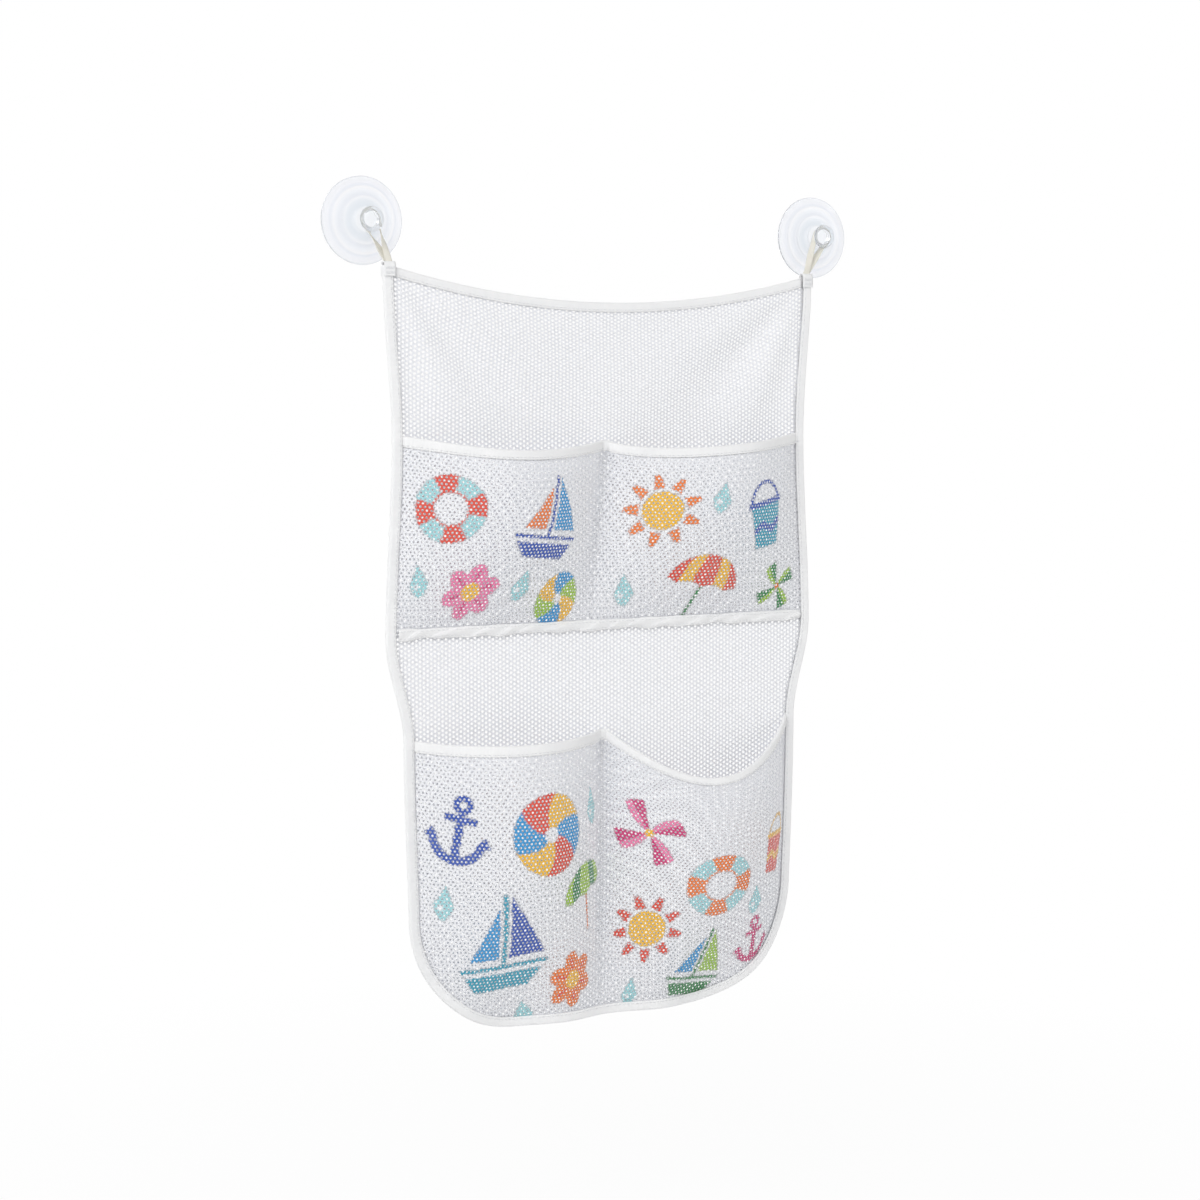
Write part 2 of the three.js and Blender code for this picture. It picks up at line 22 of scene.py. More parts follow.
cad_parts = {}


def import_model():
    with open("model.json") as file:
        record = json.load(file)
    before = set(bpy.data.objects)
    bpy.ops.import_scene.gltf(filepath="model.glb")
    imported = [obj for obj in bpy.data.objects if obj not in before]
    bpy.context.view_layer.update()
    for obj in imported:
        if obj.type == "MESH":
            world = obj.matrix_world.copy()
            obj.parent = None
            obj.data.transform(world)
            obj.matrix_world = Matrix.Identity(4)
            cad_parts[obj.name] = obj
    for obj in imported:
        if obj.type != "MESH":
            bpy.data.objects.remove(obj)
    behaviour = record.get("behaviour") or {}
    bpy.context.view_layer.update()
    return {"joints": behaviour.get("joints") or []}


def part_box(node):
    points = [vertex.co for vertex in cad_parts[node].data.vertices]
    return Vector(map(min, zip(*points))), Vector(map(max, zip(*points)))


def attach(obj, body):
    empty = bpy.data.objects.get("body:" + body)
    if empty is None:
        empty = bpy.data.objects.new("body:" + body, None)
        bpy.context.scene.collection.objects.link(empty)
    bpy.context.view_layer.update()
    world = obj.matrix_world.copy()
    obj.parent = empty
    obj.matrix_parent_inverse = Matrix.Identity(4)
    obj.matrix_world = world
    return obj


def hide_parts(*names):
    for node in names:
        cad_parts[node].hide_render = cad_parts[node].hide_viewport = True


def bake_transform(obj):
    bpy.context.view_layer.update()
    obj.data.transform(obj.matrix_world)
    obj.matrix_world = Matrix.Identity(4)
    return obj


LOG = logging.getLogger("bath_organizer")
MM = 0.001
FLAT = "flat"
INK = "ink"
BAKE_MAP = "OFBake"
FRONT = np.array([0.0, -1.0, 0.0])
CUP_RADIUS = 28.5 * MM

Array = np.ndarray
Colour = tuple[float, float, float, float]
Pair = tuple[float, float]
Point = tuple[float, float, float]
Piece = bpy.types.Object
Material = bpy.types.Material
Places = Callable[[Array, Array], Array]
StitchRow = tuple[Array, Array, Array]


class Side(Enum):
    """The two ends of the bag, as the sign of their x."""

    LEFT = -1
    RIGHT = 1

    @property
    def word(self) -> str:
        """The side's name in a piece's name."""
        return self.name.lower()


class Body(str, Enum):
    """The frame's bodies."""

    LOOPS = "hanging_loops"
    BAG = "bag"
    LEFT_CUP = "left_cup"
    RIGHT_CUP = "right_cup"


class Slot(str, Enum):
    """The record's material slots."""

    MESH = "white_mesh"
    PRINT = "printed_mesh"
    TAPE = "white_tape"
    THREAD = "white_thread"
    RIBBON = "cream_ribbon"
    VINYL = "clear_vinyl"


def ease(value: Array, low: float, high: float) -> Array:
    """A smooth step from 0 at low to 1 at high."""
    share = np.clip((value - low) / (high - low), 0.0, 1.0)
    return share * share * (3 - 2 * share)


def mix(low: Any, high: Any, share: Any) -> Any:
    """The value a share of the way from low to high."""
    return low + (high - low) * share


def unit(vectors: Array) -> Array:
    """Vectors along the last axis, at length one."""
    return vectors / np.maximum(np.linalg.norm(vectors, axis=-1, keepdims=True), 1e-12)


def points(x: Any, y: Any, z: Any) -> Array:
    """Rows of x, y, z from arrays of one shape or from numbers."""
    return np.stack(np.broadcast_arrays(x, y, z), axis=-1).astype(float)


def run_lengths(*axes: Array) -> Array:
    """The length along a line to each of its points, from their coordinates."""
    steps = np.sqrt(sum(np.diff(axis) ** 2 for axis in axes))
    return np.concatenate([[0.0], np.cumsum(steps)])


def linear(code: str) -> Colour:
    """Turns a screen colour into a shader's.

    Args:
        code: Six hexadecimal digits.

    Returns:
        Its red, green and blue in linear light, with full alpha.
    """
    screen = [int(code[k : k + 2], 16) / 255 for k in (0, 2, 4)]
    lit = [c / 12.92 if c <= 0.04045 else ((c + 0.055) / 1.055) ** 2.4 for c in screen]
    return (lit[0], lit[1], lit[2], 1.0)


def math_operator(operation: str, reflected: bool = False) -> Callable[..., Signal]:
    """Makes one of a signal's operators.

    Args:
        operation: The Math node's operation.
        reflected: Whether the signal is the second of the two values.

    Returns:
        A method that adds the node.
    """

    def apply(signal: Signal, other: Any = 0.0) -> Signal:
        """A Math node on the signal and another value."""
        pair = (other, signal) if reflected else (signal, other)
        return signal.graph.node("ShaderNodeMath", {"operation": operation}, dict(enumerate(pair)))

    return apply


class Signal:
    """One output socket of a node tree, so that shader maths reads as Python."""

    __add__ = __radd__ = math_operator("ADD")
    __mul__ = __rmul__ = math_operator("MULTIPLY")
    __sub__ = math_operator("SUBTRACT")
    __rsub__ = math_operator("SUBTRACT", reflected=True)
    __truediv__ = math_operator("DIVIDE")
    __rtruediv__ = math_operator("DIVIDE", reflected=True)
    __pow__ = math_operator("POWER")
    __rpow__ = math_operator("POWER", reflected=True)
    sine = math_operator("SINE")
    size = math_operator("ABSOLUTE")
    most = math_operator("MAXIMUM")

    def __init__(self, graph: Graph, socket: bpy.types.NodeSocket | None) -> None:
        """Wraps a socket of the graph."""
        self.graph = graph
        self.socket = socket

    def parts(self) -> list[Signal]:
        """A vector's x, y and z."""
        split = self.graph.node("ShaderNodeSeparateXYZ", inputs={0: self}).socket.node
        return [Signal(self.graph, socket) for socket in split.outputs]


class Graph:
    """A node tree that is written from the shader outwards."""

    def __init__(self, tree: bpy.types.NodeTree) -> None:
        """Takes over a tree and empties it."""
        self.tree = tree
        tree.nodes.clear()

    def node(
        self,
        kind: str,
        settings: dict[str, Any] | None = None,
        inputs: dict[Any, Any] | None = None,
        output: Any = 0,
    ) -> Signal:
        """Adds any node.

        Args:
            kind: The node's type name.
            settings: Properties that are set first. "stops" are a ramp's places and colours.
            inputs: Values or signals by socket name or number.
            output: The name or number of the socket to return.

        Returns:
            The chosen output socket, or an empty signal from a node that has none.
        """
        made = self.tree.nodes.new(kind)
        for name, value in (settings or {}).items():
            if name == "stops":
                self._set_stops(made.color_ramp.elements, value)
            else:
                setattr(made, name, value)
        for name, value in (inputs or {}).items():
            if isinstance(value, Signal):
                self.tree.links.new(value.socket, made.inputs[name])
            else:
                made.inputs[name].default_value = value
        return Signal(self, made.outputs[output] if len(made.outputs) else None)

    @staticmethod
    def _set_stops(elements: Any, stops: Sequence[tuple[float, Colour]]) -> None:
        """Gives a ramp its stops.

        Args:
            elements: The ramp's elements.
            stops: Their places and colours, in rising order.
        """
        while len(elements) < len(stops):
            elements.new(1.0)
        for element, (place, colour) in zip(elements, stops):
            element.position = place
            element.color = colour

    def attribute(self, name: str, output: str) -> Signal:
        """What the piece keeps for each vertex under a name."""
        return self.node("ShaderNodeAttribute", {"attribute_name": name}, output=output)

    def flat(self) -> tuple[Signal, Signal]:
        """The place on the piece's own flat cloth, along and across, in metres."""
        along, across, _ = self.attribute(FLAT, "Vector").parts()
        return along, across

    def place(self) -> Signal:
        """The object's own coordinates."""
        return self.node("ShaderNodeTexCoord", output="Object")

    def noise(self, scale: float, detail: float = 2.0) -> Signal:
        """Soft noise over the object's own coordinates, about 0.5."""
        inputs = {"Vector": self.place(), "Scale": scale, "Detail": detail}
        return self.node("ShaderNodeTexNoise", inputs=inputs)

    def wave(self, along: Signal, length: float) -> Signal:
        """A sine with that wavelength, from -1 to 1."""
        return (along * (2 * math.pi / length)).sine()

    def blend(self, share: Any, low: Any, high: Any) -> Signal:
        """A colour mixed from low to high by a share."""
        inputs = {0: share, 6: low, 7: high}
        return self.node("ShaderNodeMix", {"data_type": "RGBA"}, inputs, output=2)

    def bump(self, height: Signal, distance: float, strength: float = 1.0) -> Signal:
        """A normal from a height between 0 and 1."""
        inputs = {"Height": height, "Distance": distance, "Strength": strength}
        return self.node("ShaderNodeBump", inputs=inputs, output="Normal")


def new_material(name: str) -> tuple[Material, Graph]:
    """Makes an empty material.

    Args:
        name: Its name.

    Returns:
        The material and the graph that writes it.
    """
    material = bpy.data.materials.new(name)
    material.use_nodes = True
    return material, Graph(material.node_tree)


@dataclass(frozen=True)
class Finish(ABC):
    """A named finish on a principled surface."""

    name: str

    @abstractmethod
    def inputs(self, graph: Graph) -> dict[str, Any]:
        """Writes the finish into a graph and gives the surface's inputs."""

    def material(self) -> Material:
        """Builds the material.

        Returns:
            The material with its surface and output.
        """
        made, graph = new_material(self.name)
        shader = graph.node("ShaderNodeBsdfPrincipled", inputs=self.inputs(graph))
        graph.node("ShaderNodeOutputMaterial", inputs={"Surface": shader})
        return made


@dataclass(frozen=True)
class KnitFinish(Finish):
    """White polyester mesh: fine loops of thread round each hole, with a print if it has one."""

    printed: bool
    colour: Colour = linear("F5F6FA")
    shade: Colour = linear("E9ECF3")
    shade_scale: float = 38.0
    loop_length: float = 0.75 * MM
    loop_depth: float = 0.12 * MM
    print_wear: float = 0.1
    roughness: float = 0.62
    sheen: float = 0.12
    sheen_roughness: float = 0.4

    def inputs(self, graph: Graph) -> dict[str, Any]:
        """Writes crossed waves of thread, clouds of shade and the print.

        Args:
            graph: The material's graph.

        Returns:
            The surface's inputs.
        """
        along, down = graph.flat()
        loops = graph.wave(along + down * 0.5, self.loop_length)
        legs = graph.wave(along * 0.5 - down, self.loop_length)
        height = (loops * legs + 1) * 0.5
        cloud = graph.noise(self.shade_scale)
        colour = graph.blend((cloud - 0.35) * 0.5, self.colour, self.shade)
        if self.printed:
            cover = graph.attribute(INK, "Alpha") * (1 - self.print_wear + self.print_wear * cloud)
            colour = graph.blend(cover, colour, graph.attribute(INK, "Color"))
        return {
            "Base Color": colour,
            "Roughness": self.roughness + height * 0.15,
            "Normal": graph.bump(height, self.loop_depth),
            "Sheen Weight": self.sheen,
            "Sheen Roughness": self.sheen_roughness,
        }


@dataclass(frozen=True)
class TapeFinish(Finish):
    """Woven tape: fine ribs across, a soft twill along, and a little sheen."""

    colour: Colour
    # the colour of the painted shade in the grooves, also used for the random mottle
    shade: Colour
    shade_scale: float = 55.0
    rib: float = 0.9 * MM
    yarn: float = 0.6 * MM
    depth: float = 0.10 * MM
    roughness: float = 0.5
    sheen: float = 0.2
    sheen_roughness: float = 0.35

    def inputs(self, graph: Graph) -> dict[str, Any]:
        """Writes the ribs and yarns, with painted shade in the grooves between them and a random
        mottle in soft clouds.

        Args:
            graph: The material's graph.

        Returns:
            The surface's inputs.
        """
        along, across = graph.flat()
        ribs = graph.wave(along, self.rib)
        yarns = graph.wave(across + along * 0.25, self.yarn)
        height = (ribs * 0.6 + yarns * 0.4 + 1) * 0.5
        # painted shade: darker in the grooves between ribs and yarns, plus a random mottle
        groove_shade_and_mottle = (1 - height) * 0.35 + (graph.noise(self.shade_scale) - 0.5) * 0.4
        return {
            "Base Color": graph.blend(groove_shade_and_mottle.most(0.0), self.colour, self.shade),
            "Roughness": self.roughness + (1 - height) * 0.2,
            "Normal": graph.bump(height, self.depth),
            "Sheen Weight": self.sheen,
            "Sheen Roughness": self.sheen_roughness,
        }


@dataclass(frozen=True)
class ThreadFinish(Finish):
    """Sewing thread: plies twisted round each other."""

    colour: Colour = linear("FAFAFA")
    shade: Colour = linear("E3E5EA")
    twist: float = 0.5 * MM
    depth: float = 0.08 * MM
    roughness: float = 0.55

    def inputs(self, graph: Graph) -> dict[str, Any]:
        """Writes the twisted plies, with painted shade in the grooves between them.

        Args:
            graph: The material's graph.

        Returns:
            The surface's inputs.
        """
        x, _, z = graph.place().parts()
        height = (graph.wave(x + z, self.twist) + 1) * 0.5
        return {
            # painted shade: darker from the plies' crests down into the grooves between them
            "Base Color": graph.blend(height, self.shade, self.colour),
            "Roughness": self.roughness - height * 0.1,
            "Normal": graph.bump(height, self.depth),
        }


@dataclass(frozen=True)
class VinylFinish(Finish):
    """Clear soft vinyl with a moulded skin, and rings of painted light and shade on its stepped
    cup.

    The rings of painted light and shade go by the distance from the cup's axis, as a share of its
    radius. They are paler on each step's lip, and greyer just past each step, at the dome's foot
    and at the rim, where the thicker vinyl also greys it.
    """

    cup_x: float
    ring_light_and_shade: tuple[tuple[float, str], ...] = (
        (0.00, "F9FBFE"),
        (0.27, "F9FBFE"),
        (0.30, "ECF1F7"),
        (0.45, "F1F5FA"),
        (0.53, "FBFCFF"),
        (0.56, "F0F3F9"),
        (0.68, "F8FAFE"),
        (0.76, "FDFDFF"),
        (0.79, "F1F4FA"),
        (0.86, "FAFBFF"),
        (0.97, "FAFBFE"),
        (1.00, "E4E8EE"),
    )
    roughness: float = 0.12
    clearness: float = 0.82
    bend: float = 1.36
    grain: float = 0.03 * MM
    grain_scale: float = 160.0
    grain_strength: float = 0.4

    def inputs(self, graph: Graph) -> dict[str, Any]:
        """Writes the rings of painted light and shade and the skin's grain.

        Args:
            graph: The material's graph.

        Returns:
            The surface's inputs.
        """
        skin = graph.noise(self.grain_scale, detail=3.0)
        x, _, z = graph.place().parts()
        x = x.size() - self.cup_x
        radius = (x * x + z * z) ** 0.5 / CUP_RADIUS
        # painted light and shade: tint rings by radius, paler on the step lips, greyer past the
        # steps and at the rim
        stops = [(place, linear(code)) for place, code in self.ring_light_and_shade]
        return {
            "Base Color": graph.node("ShaderNodeValToRGB", {"stops": stops}, {0: radius}),
            "Roughness": self.roughness + skin * 0.05,
            "Normal": graph.bump(skin, self.grain, self.grain_strength),
            "Transmission Weight": self.clearness,
            "IOR": self.bend,
        }


class Finishes:
    """The organizer's materials."""

    def __init__(self, cup_x: float) -> None:
        """Makes each material once.

        Args:
            cup_x: The cups' distance from the middle, for their vinyl.
        """
        # shadow is the colour of the ribbon's painted shade in its rib grooves and of its random
        # mottle
        cream, shadow = linear("F3F0E6"), linear("D3CFC0")
        ribbon = TapeFinish("cream_satin_ribbon", cream, shadow, rib=0.5 * MM, roughness=0.38)
        self.mesh = KnitFinish("white_knit_mesh", printed=False).material()
        self.printed = KnitFinish("printed_knit_mesh", printed=True).material()
        self.tape = TapeFinish("white_woven_tape", linear("FBFBFB"), linear("E2E4E8")).material()
        self.ribbon = ribbon.material()
        self.thread = ThreadFinish("white_sewing_thread").material()
        self.vinyl = VinylFinish("clear_soft_vinyl", cup_x).material()


def mesh_object(bm: bmesh.types.BMesh, name: str, material: Material) -> Piece:
    """Turns a bmesh into a smooth-shaded object at the origin.

    Args:
        bm: The shape, which is freed.
        name: The piece's name.
        material: Its finish.

    Returns:
        The object, linked to the scene.
    """
    mesh = bpy.data.meshes.new(name)
    bm.to_mesh(mesh)
    bm.free()
    mesh.materials.append(material)
    mesh.polygons.foreach_set("use_smooth", np.ones(len(mesh.polygons), bool))
    made = bpy.data.objects.new(name, mesh)
    bpy.context.scene.collection.objects.link(made)
    return made


def coordinates(mesh: bpy.types.Mesh) -> Array:
    """Reads where a mesh's vertices are.

    Args:
        mesh: The mesh.

    Returns:
        Rows of x, y, z.
    """
    flat = np.empty(len(mesh.vertices) * 3, np.float32)
    mesh.vertices.foreach_get("co", flat)
    return flat.reshape(-1, 3).astype(float)


def store(mesh: bpy.types.Mesh, name: str, kind: str, values: Array) -> None:
    """Keeps a value for each vertex as an attribute.

    Args:
        mesh: The mesh.
        name: The attribute's name.
        kind: Its type, FLOAT_COLOR or FLOAT_VECTOR.
        values: A row for each vertex.
    """
    prop = "color" if kind == "FLOAT_COLOR" else "vector"
    attribute = mesh.attributes.new(name, kind, "POINT")
    attribute.data.foreach_set(prop, values.astype(np.float32).ravel())


def store_bake_map(mesh: bpy.types.Mesh, flat: Array) -> None:
    """Keeps a UV map that lays the cloth out flat in the unit square.

    Args:
        mesh: The cloth's mesh.
        flat: Each vertex's flat place, along and across.
    """
    low = flat.min(axis=0)
    span = (flat.max(axis=0) - low).max()
    corner = np.empty(len(mesh.loops), np.int32)
    mesh.loops.foreach_get("vertex_index", corner)
    uv = ((flat - low) / span)[corner]
    mesh.uv_layers.new(name=BAKE_MAP).data.foreach_set("uv", uv.astype(np.float32).ravel())


def hang(mesh: bpy.types.Mesh, flat: Array, places: Array) -> None:
    """Moves a flat mesh's vertices, and keeps where they were for its weave.

    Args:
        mesh: The mesh.
        flat: Each vertex's flat place.
        places: Each vertex's new place.
    """
    store(mesh, FLAT, "FLOAT_VECTOR", flat)
    mesh.vertices.foreach_set("co", places.astype(np.float32).ravel())
    mesh.update()


def grid_piece(
    name: str,
    cells: tuple[int, int],
    flat_size: Pair,
    place: Places,
    material: Material,
    thickness: float,
) -> Piece:
    """Bends a grid of cells into shape.

    Args:
        name: The piece's name.
        cells: Cells along and across.
        flat_size: The piece's length and width when laid flat.
        place: Gives points for shares along and across, from 0 to 1.
        material: Its finish.
        thickness: The cloth's thickness, half on each side.

    Returns:
        The object, with its flat place kept for its weave.
    """
    bm = bmesh.new()
    bmesh.ops.create_grid(bm, x_segments=cells[0], y_segments=cells[1], size=1.0)
    made = mesh_object(bm, name, material)
    share = (coordinates(made.data) + 1) / 2
    flat = points(share[:, 0] * flat_size[0], share[:, 1] * flat_size[1], 0.0)
    hang(made.data, flat, place(share[:, 0], share[:, 1]))
    solid = made.modifiers.new("cloth", "SOLIDIFY")
    solid.thickness = thickness
    solid.offset = 0.0
    return made


def seat(piece: Piece, body: Body, slot: Slot, *nodes: str) -> Piece:
    """Makes a piece part of a body.

    Args:
        piece: The piece.
        body: The body that it moves with.
        slot: Its material slot; not used.
        nodes: The frame's nodes that it stands for, if any.

    Returns:
        The piece.
    """
    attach(piece, body.value)
    if nodes:
        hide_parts(*nodes)
    LOG.info("%s: %d faces", piece.name, len(piece.data.polygons))
    return piece


@dataclass(frozen=True)
class BagCut:
    """The bag's cut and how it hangs, in the frame's places."""

    corner_x: float
    corner_z: float
    bottom_z: float
    upper_mouth_z: float
    upper_hem_z: float
    lower_mouth_z: float
    hang_y: float
    corner_radius: float = 82 * MM
    top_sag: float = 22 * MM
    upper_mouth_nip: float = 6 * MM
    hem_nip: float = 0.5 * MM
    lower_mouth_nip: float = 13 * MM
    bottom_nip: float = 18 * MM
    divider_top_x: float = -3 * MM
    divider_hem_x: float = -14 * MM
    divider_bottom_x: float = -5 * MM
    edge_face: float = 6.5 * MM
    top_face: float = 6 * MM
    fold_height: float = 4 * MM
    fold_reach: float = 150 * MM
    fold_start: float = 12 * MM
    fold_full: float = 90 * MM
    folds: float = 2.2
    fan_degrees: Pair = (8.0, 86.0)
    wave_height: float = 3.5 * MM
    wave_length: float = 78 * MM
    wave_phase: float = 0.2
    wave_rise: float = 110 * MM

    @classmethod
    def from_frame(cls, swing_y: float) -> BagCut:
        """Reads the cut's heights and width from the frame's nodes.

        Args:
            swing_y: Where the bag's swing axis lies, in front of the cloth.

        Returns:
            The cut.
        """
        back_low, back_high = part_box("back_panel")
        upper_low, upper_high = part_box("upper_pocket_panel")
        binding_shift = 0.5 * MM
        return cls(
            corner_x=back_high.x,
            corner_z=back_high.z,
            bottom_z=back_low.z,
            upper_mouth_z=upper_high.z,
            upper_hem_z=upper_low.z,
            lower_mouth_z=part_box("lower_pocket_panel")[1].z,
            hang_y=swing_y + binding_shift,
        )

    @property
    def flat_size(self) -> Pair:
        """The back panel's width and length as cut."""
        return 2 * self.corner_x, self.corner_z - self.bottom_z

    @property
    def arc_top_z(self) -> float:
        """Where the round bottom corners start."""
        return self.bottom_z + self.corner_radius

    def half_width(self, z: Array) -> Array:
        """Half the bag's width, eased between the heights where it is gathered.

        Args:
            z: Heights.

        Returns:
            The distance from the middle to the side at each height.
        """
        stations = [
            (self.corner_z, 0.0),
            (self.upper_mouth_z, self.upper_mouth_nip),
            (self.upper_hem_z, self.hem_nip),
            (self.lower_mouth_z, self.lower_mouth_nip),
            (self.bottom_z, self.bottom_nip),
        ]
        z = np.clip(z, self.bottom_z, self.corner_z)
        nip = np.zeros_like(z)
        for (high_z, high), (low_z, low) in zip(stations, stations[1:]):
            here = (z <= high_z) & (z >= low_z)
            nip = np.where(here, mix(low, high, ease(z, low_z, high_z)), nip)
        return self.corner_x - nip

    def side_x(self, z: Array, inset: float = 0.0) -> Array:
        """The side line, round at the bottom corners.

        Args:
            z: Heights.
            inset: How far inside the edge the line runs.

        Returns:
            The line's distance from the middle at each height.
        """
        radius = self.corner_radius - inset
        centre = self.half_width(np.asarray(self.arc_top_z)) - self.corner_radius
        drop = np.clip(self.arc_top_z - z, 0.0, radius)
        round_x = centre + np.sqrt(np.maximum(radius**2 - drop**2, 0.0))
        return np.where(z > self.arc_top_z, self.half_width(z) - inset, round_x)

    def divider_x(self, z: Array) -> Array:
        """Where the centre seam runs.

        Args:
            z: Heights.

        Returns:
            The seam's x at each height.
        """
        above = ease(z, self.upper_hem_z, self.upper_mouth_z)
        below = ease(z, self.lower_mouth_z, self.upper_hem_z)
        upper = mix(self.divider_hem_x, self.divider_top_x, above)
        lower = mix(self.divider_bottom_x, self.divider_hem_x, below)
        return np.where(z > self.upper_hem_z, upper, lower)

    def fold_depth(self, x: Array, z: Array) -> Array:
        """How far the cloth folds: creases that fan from the corners, and waves at the foot.

        Args:
            x: Places across the bag.
            z: Heights.

        Returns:
            The depth towards the wall at each place.
        """
        fan_start, fan_end = (math.radians(degrees) for degrees in self.fan_degrees)
        depth = np.zeros_like(x)
        for side in Side:
            along = self.corner_x - side.value * x
            down = self.corner_z - z
            reach = np.hypot(along, down)
            fan = np.clip((np.arctan2(down, along) - fan_start) / (fan_end - fan_start), 0, 1)
            crease = np.sin(np.pi * fan) * np.cos(self.folds * 2 * np.pi * fan)
            rise = ease(reach, self.fold_start, self.fold_full)
            fade = np.exp(-((reach / self.fold_reach) ** 2))
            depth = depth + self.fold_height * rise * fade * crease
        waves = np.sin(2 * np.pi * (x / self.wave_length + self.wave_phase))
        low = 1 - ease(z, self.bottom_z, self.bottom_z + self.wave_rise)
        return depth + self.wave_height * low * waves

    def cloth(self, x: Array, z: Array, lift: float = 0.0) -> Array:
        """Places flat points of the cut on the hung cloth.

        Args:
            x: Places across the flat cut.
            z: Heights on the flat cut.
            lift: How far they stand towards the front.

        Returns:
            The hung points.
        """
        top = self.corner_z - self.top_face
        share = np.clip((z - self.upper_mouth_z) / (top - self.upper_mouth_z), 0.0, 1.0)
        across = np.clip(x / self.half_width(z), -1.0, 1.0)
        hung_z = z - self.top_sag * share * (1 - across**2)
        return points(x, self.hang_y + self.fold_depth(x, hung_z) - lift, hung_z)


@dataclass(frozen=True)
class MouthSag:
    """How far one mouth hangs down, and where across it is lowest."""

    drop: float
    lowest: float

    def at(self, across: Array) -> Array:
        """How far the mouth hangs at shares across its pocket."""
        return self.drop * np.sin(np.pi * across ** (math.log(0.5) / math.log(self.lowest)))


@dataclass(frozen=True)
class PocketRow:
    """A strip of two pockets, sewn down at its sides, along the centre seam and at its foot."""

    cut: BagCut
    word: str
    mouth_z: float
    foot_z: float
    end_z: float
    depth: float
    fullness: float
    seam_dip: float
    sags: tuple[MouthSag, MouthSag]
    sewn_lift: float = 1.0 * MM
    seam_margin: float = 6 * MM
    seam_reach: float = 30 * MM
    taped_lift: float = 1.0 * MM
    tape_face: float = 7 * MM
    mouth_fill: float = 0.82
    belly_power: float = 0.8
    foot_power: float = 2.8
    pleat_height: float = 4.4 * MM
    pleat_length: float = 16 * MM
    pleat_reach: float = 26 * MM
    seam_pleat_height: float = 0.6
    seam_pleat_length: float = 1.7
    samples: int = 240
    slack_across: float = 0.15
    slack_drop: float = 0.4

    def lines(self, z: Array, round_corners: bool) -> tuple[Array, Array, Array, Array]:
        """The sewn lines of both pockets.

        Args:
            z: Heights.
            round_corners: Whether the side lines follow the round bottom corners.

        Returns:
            The x of the left side, of the seam's two edges and of the right side.
        """
        if round_corners:
            side = self.cut.side_x(z, self.cut.edge_face)
        else:
            side = self.cut.half_width(z) - self.cut.edge_face
        middle = self.cut.divider_x(z)
        return -side, middle - self.seam_margin / 2, middle + self.seam_margin / 2, side

    def ends(self, z: float) -> Pair:
        """The left and right side lines' x at one height."""
        left, _, _, right = self.lines(np.asarray(z), round_corners=False)
        return float(left), float(right)

    def drop(self, z: Array) -> Array:
        """The share of the way down the pockets at a height."""
        return np.clip((self.mouth_z - z) / (self.mouth_z - self.foot_z), 0.0, 1.0)

    def belly(self, across: Array, drop: Array) -> Array:
        """How far the cloth stands out.

        Args:
            across: Shares across a pocket.
            drop: Shares down it.

        Returns:
            The distance from the back panel at each place.
        """
        fill = mix(self.mouth_fill, 1.0, np.sin(np.pi / 2 * np.minimum(1, drop / self.fullness)))
        round_foot = 1 - drop**self.foot_power
        return self.depth * np.sin(np.pi * across) ** self.belly_power * fill * round_foot

    def pleats(self, x: Array, z: Array, across: Array, drop: Array) -> Array:
        """Small gathers that rise from the sewn foot and reach out from the centre seam.

        Args:
            x: Places across the flat cut.
            z: Heights on the flat cut.
            across: Shares across a pocket.
            drop: Shares down it.

        Returns:
            How far they stand out at each place.
        """
        from_foot = np.exp(-np.clip(z - self.foot_z, 0, None) / self.pleat_reach)
        foot = from_foot * np.sin(2 * np.pi * x / self.pleat_length)
        from_seam = np.exp(-np.abs(x - self.cut.divider_x(z)) / self.pleat_reach)
        seam = from_seam * np.sin(2 * np.pi * z / (self.seam_pleat_length * self.pleat_length))
        inside = np.sin(np.pi * across) ** 2 * (1 - drop)
        return self.pleat_height * inside * (foot + self.seam_pleat_height * seam)

    def surface(self, x: Array, z: Array) -> Array:
        """Places flat points of the strip on the hung and filled pockets.

        Args:
            x: Places across the flat cut.
            z: Heights on the flat cut.

        Returns:
            The hung points.
        """
        left, seam_left, seam_right, right = self.lines(z, round_corners=True)
        first = x < (seam_left + seam_right) / 2
        across_first = (x - left) / (seam_left - left)
        across_second = (x - seam_right) / (right - seam_right)
        across = np.clip(np.where(first, across_first, across_second), 0.0, 1.0)
        drop = self.drop(z)
        sag = np.where(first, self.sags[0].at(across), self.sags[1].at(across))
        sag = sag + self.seam_dip * np.where(first, across, 1 - across)
        over_tape = ease(z, self.mouth_z - 2 * self.tape_face, self.mouth_z - self.tape_face)
        from_seam = np.abs(x - self.cut.divider_x(z))
        at_seam = 1 - ease(from_seam, self.seam_margin, self.seam_reach)
        placed = self.cut.cloth(x, z, self.sewn_lift)
        placed[..., 1] -= self.taped_lift * over_tape * at_seam
        placed[..., 1] -= self.belly(across, drop) + self.pleats(x, z, across, drop)
        placed[..., 2] -= sag * (1 - drop) ** 2
        return placed

    def normals(self, x: Array, z: Array) -> Array:
        """The way out of the strip's front.

        Args:
            x: Places across the flat cut.
            z: Heights on the flat cut.

        Returns:
            A unit vector at each place.
        """
        step = 0.3 * MM
        across = self.surface(x + step, z) - self.surface(x - step, z)
        up = self.surface(x, z + step) - self.surface(x, z - step)
        return unit(np.cross(across, up))

